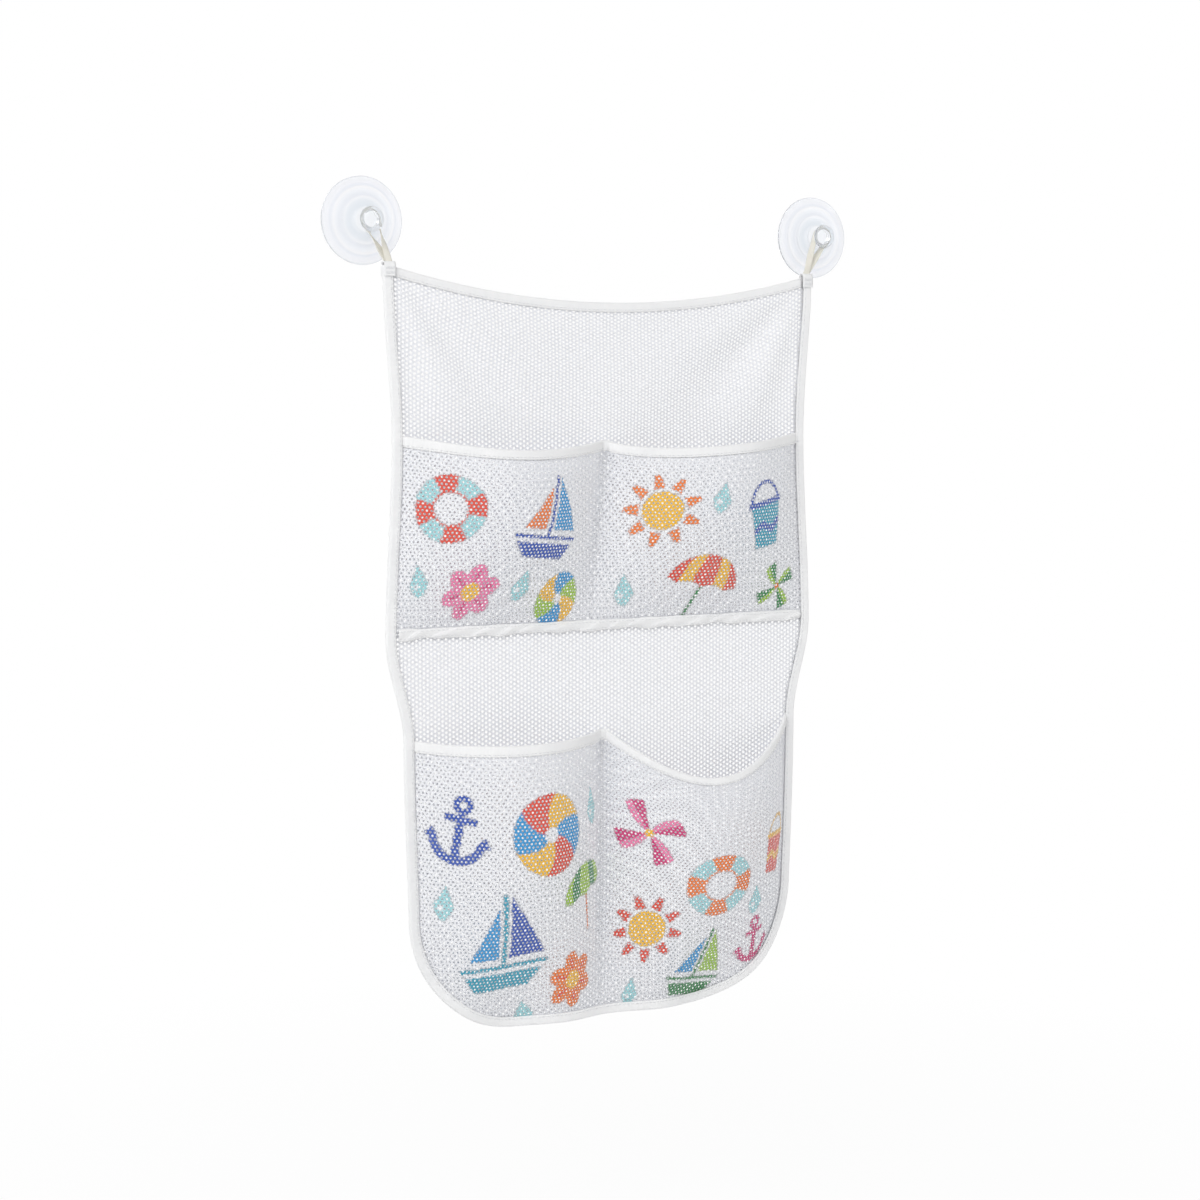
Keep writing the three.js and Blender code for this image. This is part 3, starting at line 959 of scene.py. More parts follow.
    def slack(self) -> tuple[Array, list[Array]]:
        """Measures the cloth across the pockets where they are full.

        Returns:
            Shares across a pocket, and the cloth's length to each of them in both pockets.
        """
        shares = np.linspace(0.0, 1.0, self.samples)
        z = np.asarray(mix(self.mouth_z, self.foot_z, self.slack_drop))
        left, seam_left, seam_right, right = self.lines(z, round_corners=False)
        out = self.belly(shares, np.full_like(shares, self.slack_drop))
        chords = (seam_left - left, right - seam_right)
        return shares, [run_lengths(shares * chord, out) for chord in chords]

    def heights(self) -> tuple[Array, Array]:
        """Measures the cloth down the pockets, near their sides.

        Returns:
            The strip's heights from mouth to end, and the cloth's length down to each.
        """
        z = np.linspace(self.mouth_z, self.end_z, self.samples)
        out = self.belly(np.full_like(z, self.slack_across), self.drop(z))
        return z, run_lengths(z, out)

    def flat_size(self) -> Pair:
        """The strip's size as cut.

        Returns:
            Its width and length.
        """
        first, second = self.slack()[1]
        sewn = 2 * self.cut.edge_face + self.seam_margin
        return float(first[-1] + second[-1] + sewn), float(self.heights()[1][-1])

    def unfolded(self, u: Array, v: Array) -> tuple[Array, Array]:
        """Finds flat places of the strip on the cut.

        Args:
            u: Lengths along the flat strip.
            v: Lengths down it.

        Returns:
            The cut's x and z.
        """
        z_steps, down = self.heights()
        z = np.interp(v, down, z_steps)
        shares, lengths = self.slack()
        left, seam_left, seam_right, right = self.lines(z, round_corners=False)
        widths = [self.cut.edge_face, lengths[0][-1], self.seam_margin, lengths[1][-1]]
        ends = np.cumsum(widths)
        first = mix(left, seam_left, np.interp(u - ends[0], lengths[0], shares))
        second = mix(seam_right, right, np.interp(u - ends[2], lengths[1], shares))
        x = np.where(u < ends[0], left - (ends[0] - u), first)
        x = np.where(u > ends[1], seam_left + (u - ends[1]), x)
        x = np.where(u > ends[2], second, x)
        return np.where(u > ends[3], right + (u - ends[3]), x), z


@dataclass(frozen=True)
class Net:
    """Knitted mesh with staggered six-sided holes, in rows along or down the cloth."""

    pitch: float
    row: float
    hole: float
    turned: bool = False

    def lattice(self, size: Pair) -> bmesh.types.BMesh:
        """Lays triangles with a corner where each hole will be.

        Args:
            size: The cloth's width and length.

        Returns:
            The triangles, over a little more than the cloth.
        """
        bm = bmesh.new()
        along, across = size[::-1] if self.turned else size
        columns = math.ceil(along / self.pitch) + 2
        rows = math.ceil(across / self.row) + 2
        bmesh.ops.create_grid(bm, x_segments=columns, y_segments=rows, size=0.5)
        spread = Vector((columns * self.pitch, rows * self.row, 1.0))
        bmesh.ops.scale(bm, vec=spread, verts=bm.verts)
        odd = [v for v in bm.verts if round(v.co.y / self.row + rows / 2) % 2]
        bmesh.ops.translate(bm, verts=odd, vec=Vector((self.pitch / 2, 0.0, 0.0)))
        bmesh.ops.triangulate(bm, faces=bm.faces, quad_method="SHORT_EDGE")
        if self.turned:
            quarter = Matrix.Rotation(math.pi / 2, 3, "Z")
            bmesh.ops.rotate(bm, verts=bm.verts, cent=Vector(), matrix=quarter)
        middle = Vector((size[0] / 2, size[1] / 2, 0.0))
        bmesh.ops.translate(bm, verts=bm.verts, vec=middle)
        bmesh.ops.reverse_faces(bm, faces=bm.faces)
        return bm

    def build(
        self, name: str, size: Pair, keep: Places, place: Places, material: Material
    ) -> tuple[Piece, float, Array]:
        """Knits a flat net, trims it and hangs it.

        Args:
            name: The piece's name.
            size: The flat cloth's width and length.
            keep: Says which flat points stay.
            place: Gives hung points for flat ones.
            material: The finish.

        Returns:
            The object, its thread area when flat, and its vertices' flat places.
        """
        bm = self.lattice(size)
        flat = np.array([v.co[:2] for v in bm.verts])
        stays = keep(flat[:, 0], flat[:, 1])
        outside = [v for v, kept in zip(bm.verts, stays) if not kept]
        bmesh.ops.delete(bm, geom=outside, context="VERTS")
        holes = bmesh.ops.bevel(
            bm,
            geom=list(bm.verts),
            offset=self.hole,
            offset_type="OFFSET",
            affect="VERTICES",
            segments=1,
            profile=0.5,
            material=-1,
        )["faces"]
        bmesh.ops.delete(bm, geom=holes, context="FACES")
        area = sum(face.calc_area() for face in bm.faces)
        made = mesh_object(bm, name, material)
        flat = coordinates(made.data)
        hang(made.data, flat, place(flat[:, 0], flat[:, 1]))
        store_bake_map(made.data, flat[:, :2])
        return made, area, flat


class Ink(Enum):
    """The print's colours."""

    ROYAL = linear("1B4CB0")
    SKY = linear("1F96D6")
    TEAL = linear("2A9FBA")
    ORANGE = linear("F07A22")
    CORAL = linear("E1472F")
    SUNNY = linear("F6BE2C")
    LIME = linear("9CC730")
    LEAF = linear("1B803D")
    PINK = linear("F07FAC")
    MAGENTA = linear("CF2A74")
    AQUA = linear("A6DCE2")
    WHITE = linear("F5F6FA")


Stroke = tuple[Array, Ink]


class Figure(Enum):
    """The print's generic motifs."""

    SAILBOAT = "sailboat"
    BALL = "ball"
    RING = "ring"
    SUN = "sun"
    BUCKET = "bucket"
    FLOWER = "flower"
    UMBRELLA = "umbrella"
    ANCHOR = "anchor"
    DROP = "drop"
    PINWHEEL = "pinwheel"


class FigureDrawing:
    """Draws a motif's figure in its own square, from -1 to 1 both ways.

    Each figure's method gives its strokes in the order that they are printed.
    """

    def __init__(self, p: Array, q: Array, inks: tuple[Ink, ...]) -> None:
        """Takes the points to colour and the motif's colours.

        Args:
            p: The points' places across the square.
            q: Their places up it.
            inks: The motif's colours.
        """
        self.p = p
        self.q = q
        self.inks = inks
        self.reach = np.hypot(p, q)
        self.angle = np.degrees(np.arctan2(q, p)) % 360

    def strokes(self, figure: Figure) -> list[Stroke]:
        """Draws a figure.

        Args:
            figure: Which one.

        Returns:
            Its strokes.
        """
        drawings = {
            Figure.SAILBOAT: self.sailboat,
            Figure.BALL: self.ball,
            Figure.RING: self.ring,
            Figure.SUN: self.sun,
            Figure.BUCKET: self.bucket,
            Figure.FLOWER: self.flower,
            Figure.UMBRELLA: self.umbrella,
            Figure.ANCHOR: self.anchor,
            Figure.DROP: self.drop,
            Figure.PINWHEEL: self.pinwheel,
        }
        return drawings[figure]()

    def inside(self, *outline: Pair) -> Array:
        """Finds the points inside a closed outline.

        Args:
            outline: Its corners in turn.

        Returns:
            True for the points within it.
        """
        within = np.zeros(self.p.shape, bool)
        for (ax, ay), (bx, by) in zip(outline, [*outline[1:], outline[0]]):
            crosses = (ay > self.q) != (by > self.q)
            slope = (bx - ax) / (by - ay) if by != ay else 0.0
            within ^= crosses & (self.p < ax + slope * (self.q - ay))
        return within

    def bar(self, low: Pair, high: Pair) -> Array:
        """Points in an upright box."""
        return (self.p > low[0]) & (self.p < high[0]) & (self.q > low[1]) & (self.q < high[1])

    def band(self, inner: float, outer: float, up: float = 0.0) -> Array:
        """Points between two circles whose centre lies a little up the square."""
        reach = np.hypot(self.p, self.q - up)
        return (reach > inner) & (reach < outer)

    def sailboat(self) -> list[Stroke]:
        """A hull, a mast and two sails.

        Returns:
            The strokes.
        """
        hull = self.inside((-0.85, -0.35), (0.9, -0.35), (0.55, -0.85), (-0.5, -0.85))
        return [
            (hull, self.inks[0]),
            (hull & (self.q > -0.52) & (self.q < -0.43), Ink.WHITE),
            (self.inside((0.1, -0.22), (0.1, 0.95), (0.8, -0.22)), self.inks[1]),
            (self.inside((-0.1, -0.22), (-0.1, 0.75), (-0.66, -0.22)), self.inks[2]),
            (self.bar((-0.045, -0.36), (0.045, 0.98)), self.inks[0]),
        ]

    def ball(self) -> list[Stroke]:
        """A beach ball of curved panels.

        Returns:
            The strokes.
        """
        panel = np.floor(((self.angle + 40 * self.reach) % 360) / 60).astype(int)
        disc = self.reach < 0.95
        strokes = [(disc & (panel % 3 == k), ink) for k, ink in enumerate(self.inks)]
        return [*strokes, (self.reach < 0.18, Ink.WHITE)]

    def ring(self) -> list[Stroke]:
        """A life ring with four bands.

        Returns:
            The strokes.
        """
        ring = self.band(0.48, 0.95)
        bands = ((self.angle + 22) % 90) < 44
        rim = self.band(0.44, 0.5)
        return [(ring, Ink.AQUA), (ring & bands, self.inks[0]), (rim, self.inks[0])]

    def sun(self) -> list[Stroke]:
        """A disc with nine rays."""
        ray = np.abs((self.angle % 40) - 20) < 14 * (1.1 - self.reach) / 0.5
        return [(ray & self.band(0.6, 0.98), self.inks[1]), (self.reach < 0.52, self.inks[0])]

    def bucket(self) -> list[Stroke]:
        """A pail with a rim and a handle.

        Returns:
            The strokes.
        """
        wave = np.abs(self.q + 0.35 + 0.08 * np.sin(9 * self.p)) < 0.1
        pail = self.inside((-0.62, 0.3), (0.62, 0.3), (0.42, -0.9), (-0.42, -0.9))
        return [
            (self.band(0.52, 0.62, up=0.32) & (self.q > 0.32), self.inks[1]),
            (pail, self.inks[0]),
            (pail & wave, self.inks[1]),
            (self.bar((-0.7, 0.24), (0.7, 0.4)), self.inks[1]),
        ]

    def flower(self) -> list[Stroke]:
        """Six round petals about a middle.

        Returns:
            The strokes.
        """
        petals = self.reach < 0.62 + 0.32 * np.abs(np.cos(np.radians(self.angle * 3)))
        lines = (np.abs((self.angle + 30) % 60 - 30) < 5) & self.band(0.3, 0.7)
        return [(petals, self.inks[0]), (lines, self.inks[1]), (self.reach < 0.3, self.inks[2])]

    def umbrella(self) -> list[Stroke]:
        """A striped beach umbrella on its pole.

        Returns:
            The strokes.
        """
        scallops = -0.05 + 0.09 * np.abs(np.sin(np.radians(self.p * 270)))
        dome = (np.hypot(self.p, (self.q + 0.05) * 1.15) < 0.95) & (self.q > scallops)
        stripe = np.abs(self.p) / np.sqrt(np.maximum(1 - np.clip(self.q, 0, 0.95) ** 2, 0.05))
        return [
            (self.bar((-0.04, -0.95), (0.04, 0.0)), self.inks[2]),
            (dome, self.inks[0]),
            (dome & (stripe > 0.28) & (stripe < 0.62), self.inks[1]),
        ]

    def anchor(self) -> list[Stroke]:
        """A ring, a shank, a stock and two flukes.

        Returns:
            The one stroke.
        """
        flukes = self.band(0.58, 0.83, up=-0.1) & (self.q < -0.3)
        tips = self.inside((-0.95, -0.3), (-0.5, -0.3), (-0.72, 0.0))
        tips |= self.inside((0.5, -0.3), (0.95, -0.3), (0.72, 0.0))
        shank = self.bar((-0.12, -0.85), (0.12, 0.6)) | self.bar((-0.45, 0.24), (0.45, 0.44))
        return [(flukes | tips | shank | self.band(0.1, 0.27, up=0.74), self.inks[0])]

    def drop(self) -> list[Stroke]:
        """A drop of water with a light side.

        Returns:
            The strokes.
        """
        swell = 0.62 * np.sqrt(np.clip((self.q + 0.95) / 0.8, 0, 1))
        width = swell * np.clip((0.95 - self.q) / 1.2, 0, 1)
        shine = np.hypot(self.p + 0.18, self.q + 0.3) < 0.16
        return [(np.abs(self.p) < width, self.inks[0]), (shine, Ink.WHITE)]

    def pinwheel(self) -> list[Stroke]:
        """Four folded sails on a pin.

        Returns:
            The strokes.
        """
        turn = self.angle % 90
        sail = (self.reach < 0.95) & (turn < 62 - 30 * self.reach)
        pin = self.reach < 0.12
        return [(sail, self.inks[0]), (sail & (turn < 24), self.inks[1]), (pin, self.inks[2])]


@dataclass(frozen=True)
class Motif:
    """One printed figure: its place on the flat strip, width, turn and colours."""

    figure: Figure
    across: float
    down_mm: float
    width_mm: float
    turn_degrees: float
    inks: tuple[Ink, ...]
    margin: float = 1.1

    def print_on(self, ink: Array, u: Array, v: Array, strip_width: float) -> None:
        """Prints the motif over what is there.

        Args:
            ink: The ink at each flat place, which is changed.
            u: The places' lengths along the strip.
            v: Their lengths down it.
            strip_width: The strip's width.
        """
        half, turn = self.width_mm * MM / 2, math.radians(self.turn_degrees)
        along = (u - self.across * strip_width) / half
        up = (self.down_mm * MM - v) / half
        p = along * math.cos(turn) + up * math.sin(turn)
        q = up * math.cos(turn) - along * math.sin(turn)
        near = np.flatnonzero((np.abs(p) < self.margin) & (np.abs(q) < self.margin))
        for covered, colour in FigureDrawing(p[near], q[near], self.inks).strokes(self.figure):
            ink[near[covered]] = colour.value


UPPER_PRINT = (
    Motif(Figure.RING, 0.109, 44, 50, 10, (Ink.CORAL,)),
    Motif(Figure.SAILBOAT, 0.309, 51, 66, -6, (Ink.ROYAL, Ink.SKY, Ink.ORANGE)),
    Motif(Figure.FLOWER, 0.172, 102, 44, 18, (Ink.PINK, Ink.MAGENTA, Ink.SUNNY)),
    Motif(Figure.DROP, 0.063, 94, 24, 12, (Ink.AQUA,)),
    Motif(Figure.DROP, 0.275, 98, 25, -8, (Ink.AQUA,)),
    Motif(Figure.BALL, 0.375, 110, 42, 25, (Ink.LIME, Ink.SKY, Ink.SUNNY)),
    Motif(Figure.SUN, 0.606, 47, 56, 0, (Ink.SUNNY, Ink.ORANGE)),
    Motif(Figure.DROP, 0.722, 38, 25, -14, (Ink.AQUA,)),
    Motif(Figure.BUCKET, 0.84, 53, 54, 9, (Ink.TEAL, Ink.ROYAL)),
    Motif(Figure.UMBRELLA, 0.714, 104, 60, -12, (Ink.CORAL, Ink.SUNNY, Ink.LEAF)),
    Motif(Figure.PINWHEEL, 0.902, 108, 40, 14, (Ink.LIME, Ink.LEAF, Ink.ORANGE)),
    Motif(Figure.DROP, 0.556, 106, 26, 10, (Ink.AQUA,)),
)

LOWER_PRINT = (
    Motif(Figure.ANCHOR, 0.1, 57, 50, -12, (Ink.ROYAL,)),
    Motif(Figure.BALL, 0.278, 61, 60, 0, (Ink.SKY, Ink.SUNNY, Ink.CORAL)),
    Motif(Figure.DROP, 0.415, 48, 28, 8, (Ink.AQUA,)),
    Motif(Figure.UMBRELLA, 0.395, 108, 58, 14, (Ink.LIME, Ink.LEAF, Ink.ORANGE)),
    Motif(Figure.SAILBOAT, 0.197, 138, 78, 5, (Ink.TEAL, Ink.ROYAL, Ink.SKY)),
    Motif(Figure.FLOWER, 0.372, 170, 48, -14, (Ink.ORANGE, Ink.CORAL, Ink.SUNNY)),
    Motif(Figure.DROP, 0.07, 106, 26, -8, (Ink.AQUA,)),
    Motif(Figure.DROP, 0.275, 194, 25, 20, (Ink.AQUA,)),
    Motif(Figure.PINWHEEL, 0.585, 62, 54, 8, (Ink.PINK, Ink.MAGENTA, Ink.SUNNY)),
    Motif(Figure.RING, 0.735, 102, 56, 0, (Ink.ORANGE,)),
    Motif(Figure.BUCKET, 0.905, 84, 48, -10, (Ink.CORAL, Ink.SUNNY)),
    Motif(Figure.DROP, 0.84, 122, 26, 6, (Ink.AQUA,)),
    Motif(Figure.SUN, 0.592, 138, 54, 12, (Ink.SUNNY, Ink.CORAL)),
    Motif(Figure.SAILBOAT, 0.727, 170, 62, -8, (Ink.LEAF, Ink.LIME, Ink.SKY)),
    Motif(Figure.ANCHOR, 0.866, 157, 42, 14, (Ink.MAGENTA,)),
    Motif(Figure.DROP, 0.575, 188, 24, 0, (Ink.AQUA,)),
)


@dataclass(frozen=True)
class TapeSection:
    """A tape folded over an edge: its face and where its two plies lie."""

    face: float
    front: float
    back: float
    bulge: float = 0.9 * MM
    thickness: float = 0.7 * MM
    hug: float = 0.3 * MM
    pucker: float = 0.14 * MM
    pucker_length: float = 8.5 * MM
    pressed_end: float = 0.0
    pressed_lift: float = 0.35
    cells_around: int = 24

    @property
    def skin(self) -> float:
        """From the middle of a ply to its face."""
        return self.thickness / 2

    def at(self, share: Array, length: Array) -> tuple[Array, Array, Array]:
        """Where a share round the section lies.

        Args:
            share: 0 at the front ply's free edge to 1 at the back ply's.
            length: How far along the tape, for its puckers.

        Returns:
            The distance inside the edge, the push past it and the lift to the front.
        """
        ply = np.clip(np.abs(share - 0.5) * 6 - 1, 0.0, 2.0) / 2
        turn = np.clip((share * 3 - 1), 0.0, 1.0) * np.pi
        middle = (self.front - self.back) / 2
        half = (self.front + self.back) / 2
        sign = np.where(share < 0.5, 1.0, -1.0)
        ripple = self.pucker * np.sin(np.pi * ply) * np.sin(2 * np.pi * length / self.pucker_length)
        lift = middle + half * np.cos(turn) - sign * self.hug * ply**4 + sign * ripple
        return self.face * ply, self.bulge * np.sin(turn), lift


@dataclass(frozen=True)
class Gathers:
    """Small slanting tucks in a sewn band, where its thread draws it up."""

    height: float = 1.2 * MM
    length: float = 21 * MM
    lean: float = 17 * MM
    drift: float = 5 * MM
    drift_length: float = 83 * MM
    crease: float = 0.14
    edge_lengths: tuple[float, ...] = (23 * MM, 37 * MM, 71 * MM)
    wander: float = 1.7 * MM
    still: float = 0.25

    def rise(self, run: Array, across: Array) -> Array:
        """How far the tucks stand out.

        Args:
            run: Lengths along the band.
            across: Shares across it.

        Returns:
            The height at each place.
        """
        uneven = self.drift * np.sin(2 * np.pi * run / self.drift_length)
        phase = (run + uneven + self.lean * across) / self.length % 1
        tuck = ease(phase, 0.0, self.crease) * (1 - ease(phase, self.crease, 1.0))
        return self.height * tuck * np.sqrt(np.sin(np.pi * np.clip(across, 0.0, 1.0)))

    def stray(self, run: Array, across: Array) -> Array:
        """How far the band strays from a straight line at lengths along and shares across."""
        waves = [np.sin(2 * np.pi * run / length + k) for k, length in enumerate(self.edge_lengths)]
        return self.wander * sum(waves) / len(waves) * (across - self.still)


@dataclass(frozen=True)
class Stitch:
    """A lockstitch: a short rounded thread, with half sizes along, across and out."""

    pitch: float = 3.1 * MM
    half_sizes: Point = (1.2 * MM, 0.28 * MM, 0.2 * MM)

    def sew(self, name: str, rows: Sequence[StitchRow], material: Material) -> Piece:
        """Sews rows of stitches as one piece.

        Args:
            name: The piece's name.
            rows: Each row's places, the ways it runs and the ways out of the cloth.
            material: The thread.

        Returns:
            The object.
        """
        bm = bmesh.new()
        for centre, run, out in (stitch for row in rows for stitch in zip(*row)):
            turn = Matrix.Translation(centre)
            for k, axis in enumerate((run, np.cross(out, run), out)):
                turn.col[k] = (*(axis * self.half_sizes[k]), 0.0)
            bmesh.ops.create_icosphere(bm, subdivisions=1, radius=1.0, matrix=turn)
        return mesh_object(bm, name, material)


STITCH = Stitch()


@dataclass(frozen=True)
class EdgeLine:
    """A line along which a tape is folded or stitches run.

    Its functions take the share along it and the distance inside it. Cloth without a normal
    of its own faces the front.
    """

    place: Places
    length: float
    normal: Places | None = None
    tape_step: float = 2.2 * MM
    probe: float = 1 * MM

    def facing(self, along: Array, inset: Array) -> Array:
        """The way out of the cloth's front."""
        return self.normal(along, inset) if self.normal else np.tile(FRONT, (len(along), 1))

    def outward(self, along: Array) -> Array:
        """The way out of the cloth in its own plane, across the edge."""
        edge = self.place(along, np.zeros_like(along))
        return unit(edge - self.place(along, np.full_like(along, self.probe)))

    def tape(self, name: str, section: TapeSection, material: Material) -> Piece:
        """Folds a tape over the line, pressed thinner towards its ends if the section says so.

        Args:
            name: The piece's name.
            section: The tape's section.
            material: Its finish.

        Returns:
            The object.
        """

        def bent(along: Array, around: Array) -> Array:
            """Bends the tape.

            Args:
                along: Shares along it.
                around: Shares round its section.

            Returns:
                The points of its middle.
            """
            inset, push, lift = section.at(around, along * self.length)
            if section.pressed_end:
                to_end = np.minimum(along, 1 - along) * self.length
                thin = ease(to_end, section.pressed_end / 2, section.pressed_end)
                lift = lift * mix(section.pressed_lift, 1.0, thin)
            past = self.outward(along) * push[:, None]
            return self.place(along, inset) + past + self.facing(along, inset) * lift[:, None]

        cells = (math.ceil(self.length / self.tape_step), section.cells_around)
        flat_size = (self.length, 2 * section.face + section.front + section.back)
        return grid_piece(name, cells, flat_size, bent, material, section.thickness)

    def stitch_row(self, inset: float, lift: float) -> StitchRow:
        """Lays out a row of stitches along the line.

        Args:
            inset: How far inside the line it runs.
            lift: How far its thread lies to the front, or to the back if it is negative.

        Returns:
            The stitches' places, the ways they run and the ways out of the cloth.
        """
        count = max(2, int(self.length / STITCH.pitch))
        along = (np.arange(count) + 0.5) / count
        depth = np.full_like(along, inset)
        step = 0.25 / count
        out = self.facing(along, depth) * np.sign(lift)
        run = unit(self.place(along + step, depth) - self.place(along - step, depth))
        return self.place(along, depth) + out * abs(lift), run, out


@dataclass(frozen=True)
class Bag:
    """The net bag: its panels, tapes and seams."""

    cut: BagCut
    finishes: Finishes
    back_cloth: Net = Net(pitch=3.1 * MM, row=2.7 * MM, hole=0.98 * MM, turned=True)
    pocket_cloth: Net = Net(pitch=3.0 * MM, row=2.35 * MM, hole=0.86 * MM)
    trim: float = 1.5 * MM
    edge_section: TapeSection = TapeSection(5.6 * MM, front=2.0 * MM, back=1.0 * MM)
    top_section: TapeSection = TapeSection(5.2 * MM, front=1.0 * MM, back=1.0 * MM)
    mouth_section: TapeSection = TapeSection(
        6.2 * MM, front=1.0 * MM, back=1.0 * MM, pressed_end=8 * MM
    )
    outline_samples: tuple[int, int, int] = (160, 40, 60)
    mouth_reach: float = 4 * MM
    mouth_samples: int = 400
    stitch_inset: float = 1.5 * MM
    divider_gap: float = 1.4 * MM
    divider_margin: float = 0.6 * MM
    divider_lift: float = 0.45 * MM
    gathers: Gathers = Gathers()
    hem_face: float = 7.0 * MM
    hem_gap: float = 0.6 * MM
    hem_thickness: float = 0.7 * MM
    hem_lift: float = 0.5 * MM
    hem_crown: float = 0.25 * MM
    hem_step: float = 0.8 * MM
    hem_cells: int = 12

    def rows(self) -> tuple[PocketRow, PocketRow]:
        """Lays both pocket rows out on the cut.

        Returns:
            The upper and the lower row.
        """
        cut = self.cut
        upper = PocketRow(
            cut,
            "upper",
            mouth_z=cut.upper_mouth_z,
            foot_z=cut.upper_hem_z + self.hem_face,
            end_z=cut.upper_hem_z,
            depth=38 * MM,
            fullness=0.5,
            seam_dip=4 * MM,
            sags=(MouthSag(7.5 * MM, 0.49), MouthSag(6.5 * MM, 0.32)),
        )
        lower = PocketRow(
            cut,
            "lower",
            mouth_z=cut.lower_mouth_z,
            foot_z=cut.bottom_z + cut.edge_face,
            end_z=cut.bottom_z,
            depth=46 * MM,
            fullness=0.55,
            seam_dip=1.5 * MM,
            sags=(MouthSag(2.5 * MM, 0.35), MouthSag(35 * MM, 0.46)),
        )
        return upper, lower

    def dress(self) -> None:
        """Builds every piece of the bag."""
        tapes = [*self.top_tape(), *self.edge_tape()]
        self.back_net()
        self.cut.flat_size
        upper, lower = self.rows()
        for row, motifs in ((upper, UPPER_PRINT), (lower, LOWER_PRINT)):
            net = self.pocket_net(row, motifs)
            trims = [*self.mouth_tape(row), self.divider(row)]
            if row is upper:
                trims.extend(self.hem_tape(row))
            row.flat_size()

    def back_net(self) -> tuple[Piece, float]:
        """The back panel's net.

        Returns:
            The piece and its thread area.
        """
        cut = self.cut
        low, high = cut.bottom_z + self.trim, cut.corner_z - self.trim

        def on_cut(u: Array, v: Array) -> tuple[Array, Array]:
            """The cut's x and z of flat places."""
            return u - cut.corner_x, cut.corner_z - v

        def keep(u: Array, v: Array) -> Array:
            """Which places lie inside the trimmed outline."""
            x, z = on_cut(u, v)
            return (np.abs(x) < cut.side_x(z) - self.trim) & (z > low) & (z < high)

        def place(u: Array, v: Array) -> Array:
            """Hung points of flat places."""
            return cut.cloth(*on_cut(u, v))

        made, area, _ = self.back_cloth.build(
            "back_panel_net", cut.flat_size, keep, place, self.finishes.mesh
        )
        return seat(made, Body.BAG, Slot.MESH, "back_panel"), area

    def pocket_net(self, row: PocketRow, motifs: Sequence[Motif]) -> tuple[Piece, float]:
        """A pocket strip's printed net.

        Args:
            row: The strip.
            motifs: Its print, in the order that it is printed.

        Returns:
            The piece and its thread area.
        """
        trim = self.trim
        size = row.flat_size()
        width, length = size

        def keep(u: Array, v: Array) -> Array:
            """Finds the places inside the trimmed outline.

            Args:
                u: Lengths along the flat strip.
                v: Lengths down it.

            Returns:
                True for the places that stay.
            """
            x, z = row.unfolded(u, v)
            within = (u > trim) & (u < width - trim) & (v > trim) & (v < length - trim)
            return within & (np.abs(x) < self.cut.side_x(z) - trim)

        def place(u: Array, v: Array) -> Array:
            """Hung points of flat places."""
            return row.surface(*row.unfolded(u, v))

        name = f"{row.word}_pocket_net"
        made, area, flat = self.pocket_cloth.build(name, size, keep, place, self.finishes.printed)
        ink = np.zeros((len(flat), 4))
        for motif in motifs:
            motif.print_on(ink, flat[:, 0], flat[:, 1], width)
        store(made.data, INK, "FLOAT_COLOR", ink)
        return seat(made, Body.BAG, Slot.PRINT, f"{row.word}_pocket_panel"), area

    def taped(self, line: EdgeLine, node: str, section: TapeSection) -> list[Piece]:
        """A tape over a line, with a row of stitches on each face.

        Args:
            line: The edge.
            node: The frame's node that the tape stands for.
            section: The tape's section.

        Returns:
            The tape and its stitches.
        """
        tape = line.tape(f"{node}_tape", section, self.finishes.tape)
        inset = section.face - self.stitch_inset
        lifts = (section.front + section.skin, -(section.back + section.skin))
        rows = [line.stitch_row(inset, lift) for lift in lifts]
        stitches = STITCH.sew(f"{node}_stitches", rows, self.finishes.thread)
        return [seat(tape, Body.BAG, Slot.TAPE, node), seat(stitches, Body.BAG, Slot.THREAD)]

    def top_tape(self) -> list[Piece]:
        """The tape over the sagging top edge.

        Returns:
            The tape and its stitches.
        """
        cut = self.cut
        reach = cut.corner_x - cut.edge_face

        def place(along: Array, inset: Array) -> Array:
            """Points below the top edge."""
            return cut.cloth(mix(-reach, reach, along), cut.corner_z - inset)

        return self.taped(EdgeLine(place, 2 * reach), "top_binding", self.top_section)

    def outline(self) -> tuple[Array, Array, Array]:
        """The bag's flat outline from the left corner down and round to the right one.

        Returns:
            Its x and z, and the length along it.
        """
        cut = self.cut
        side_count, corner_count, bottom_count = self.outline_samples
        side_z = np.linspace(cut.corner_z, cut.arc_top_z, side_count)
        turn = np.linspace(0.0, np.pi / 2, corner_count)[1:]
        centre = float(cut.half_width(np.asarray(cut.arc_top_z))) - cut.corner_radius
        bottom_x = np.linspace(-centre, centre, bottom_count)[1:-1]
        arc_x = centre + cut.corner_radius * np.cos(turn)
        arc_z = cut.arc_top_z - cut.corner_radius * np.sin(turn)
        half_x = np.concatenate([cut.half_width(side_z), arc_x])
        half_z = np.concatenate([side_z, arc_z])
        x = np.concatenate([-half_x, bottom_x, half_x[::-1]])
        z = np.concatenate([half_z, np.full_like(bottom_x, cut.bottom_z), half_z[::-1]])
        return x, z, run_lengths(x, z)

    def edge_tape(self) -> list[Piece]:
        """The tape over both sides and the bottom, in one run.

        Returns:
            The tape and its stitches.
        """
        cut = self.cut
        x_line, z_line, run = self.outline()
        length = float(run[-1])
        step = 1 * MM

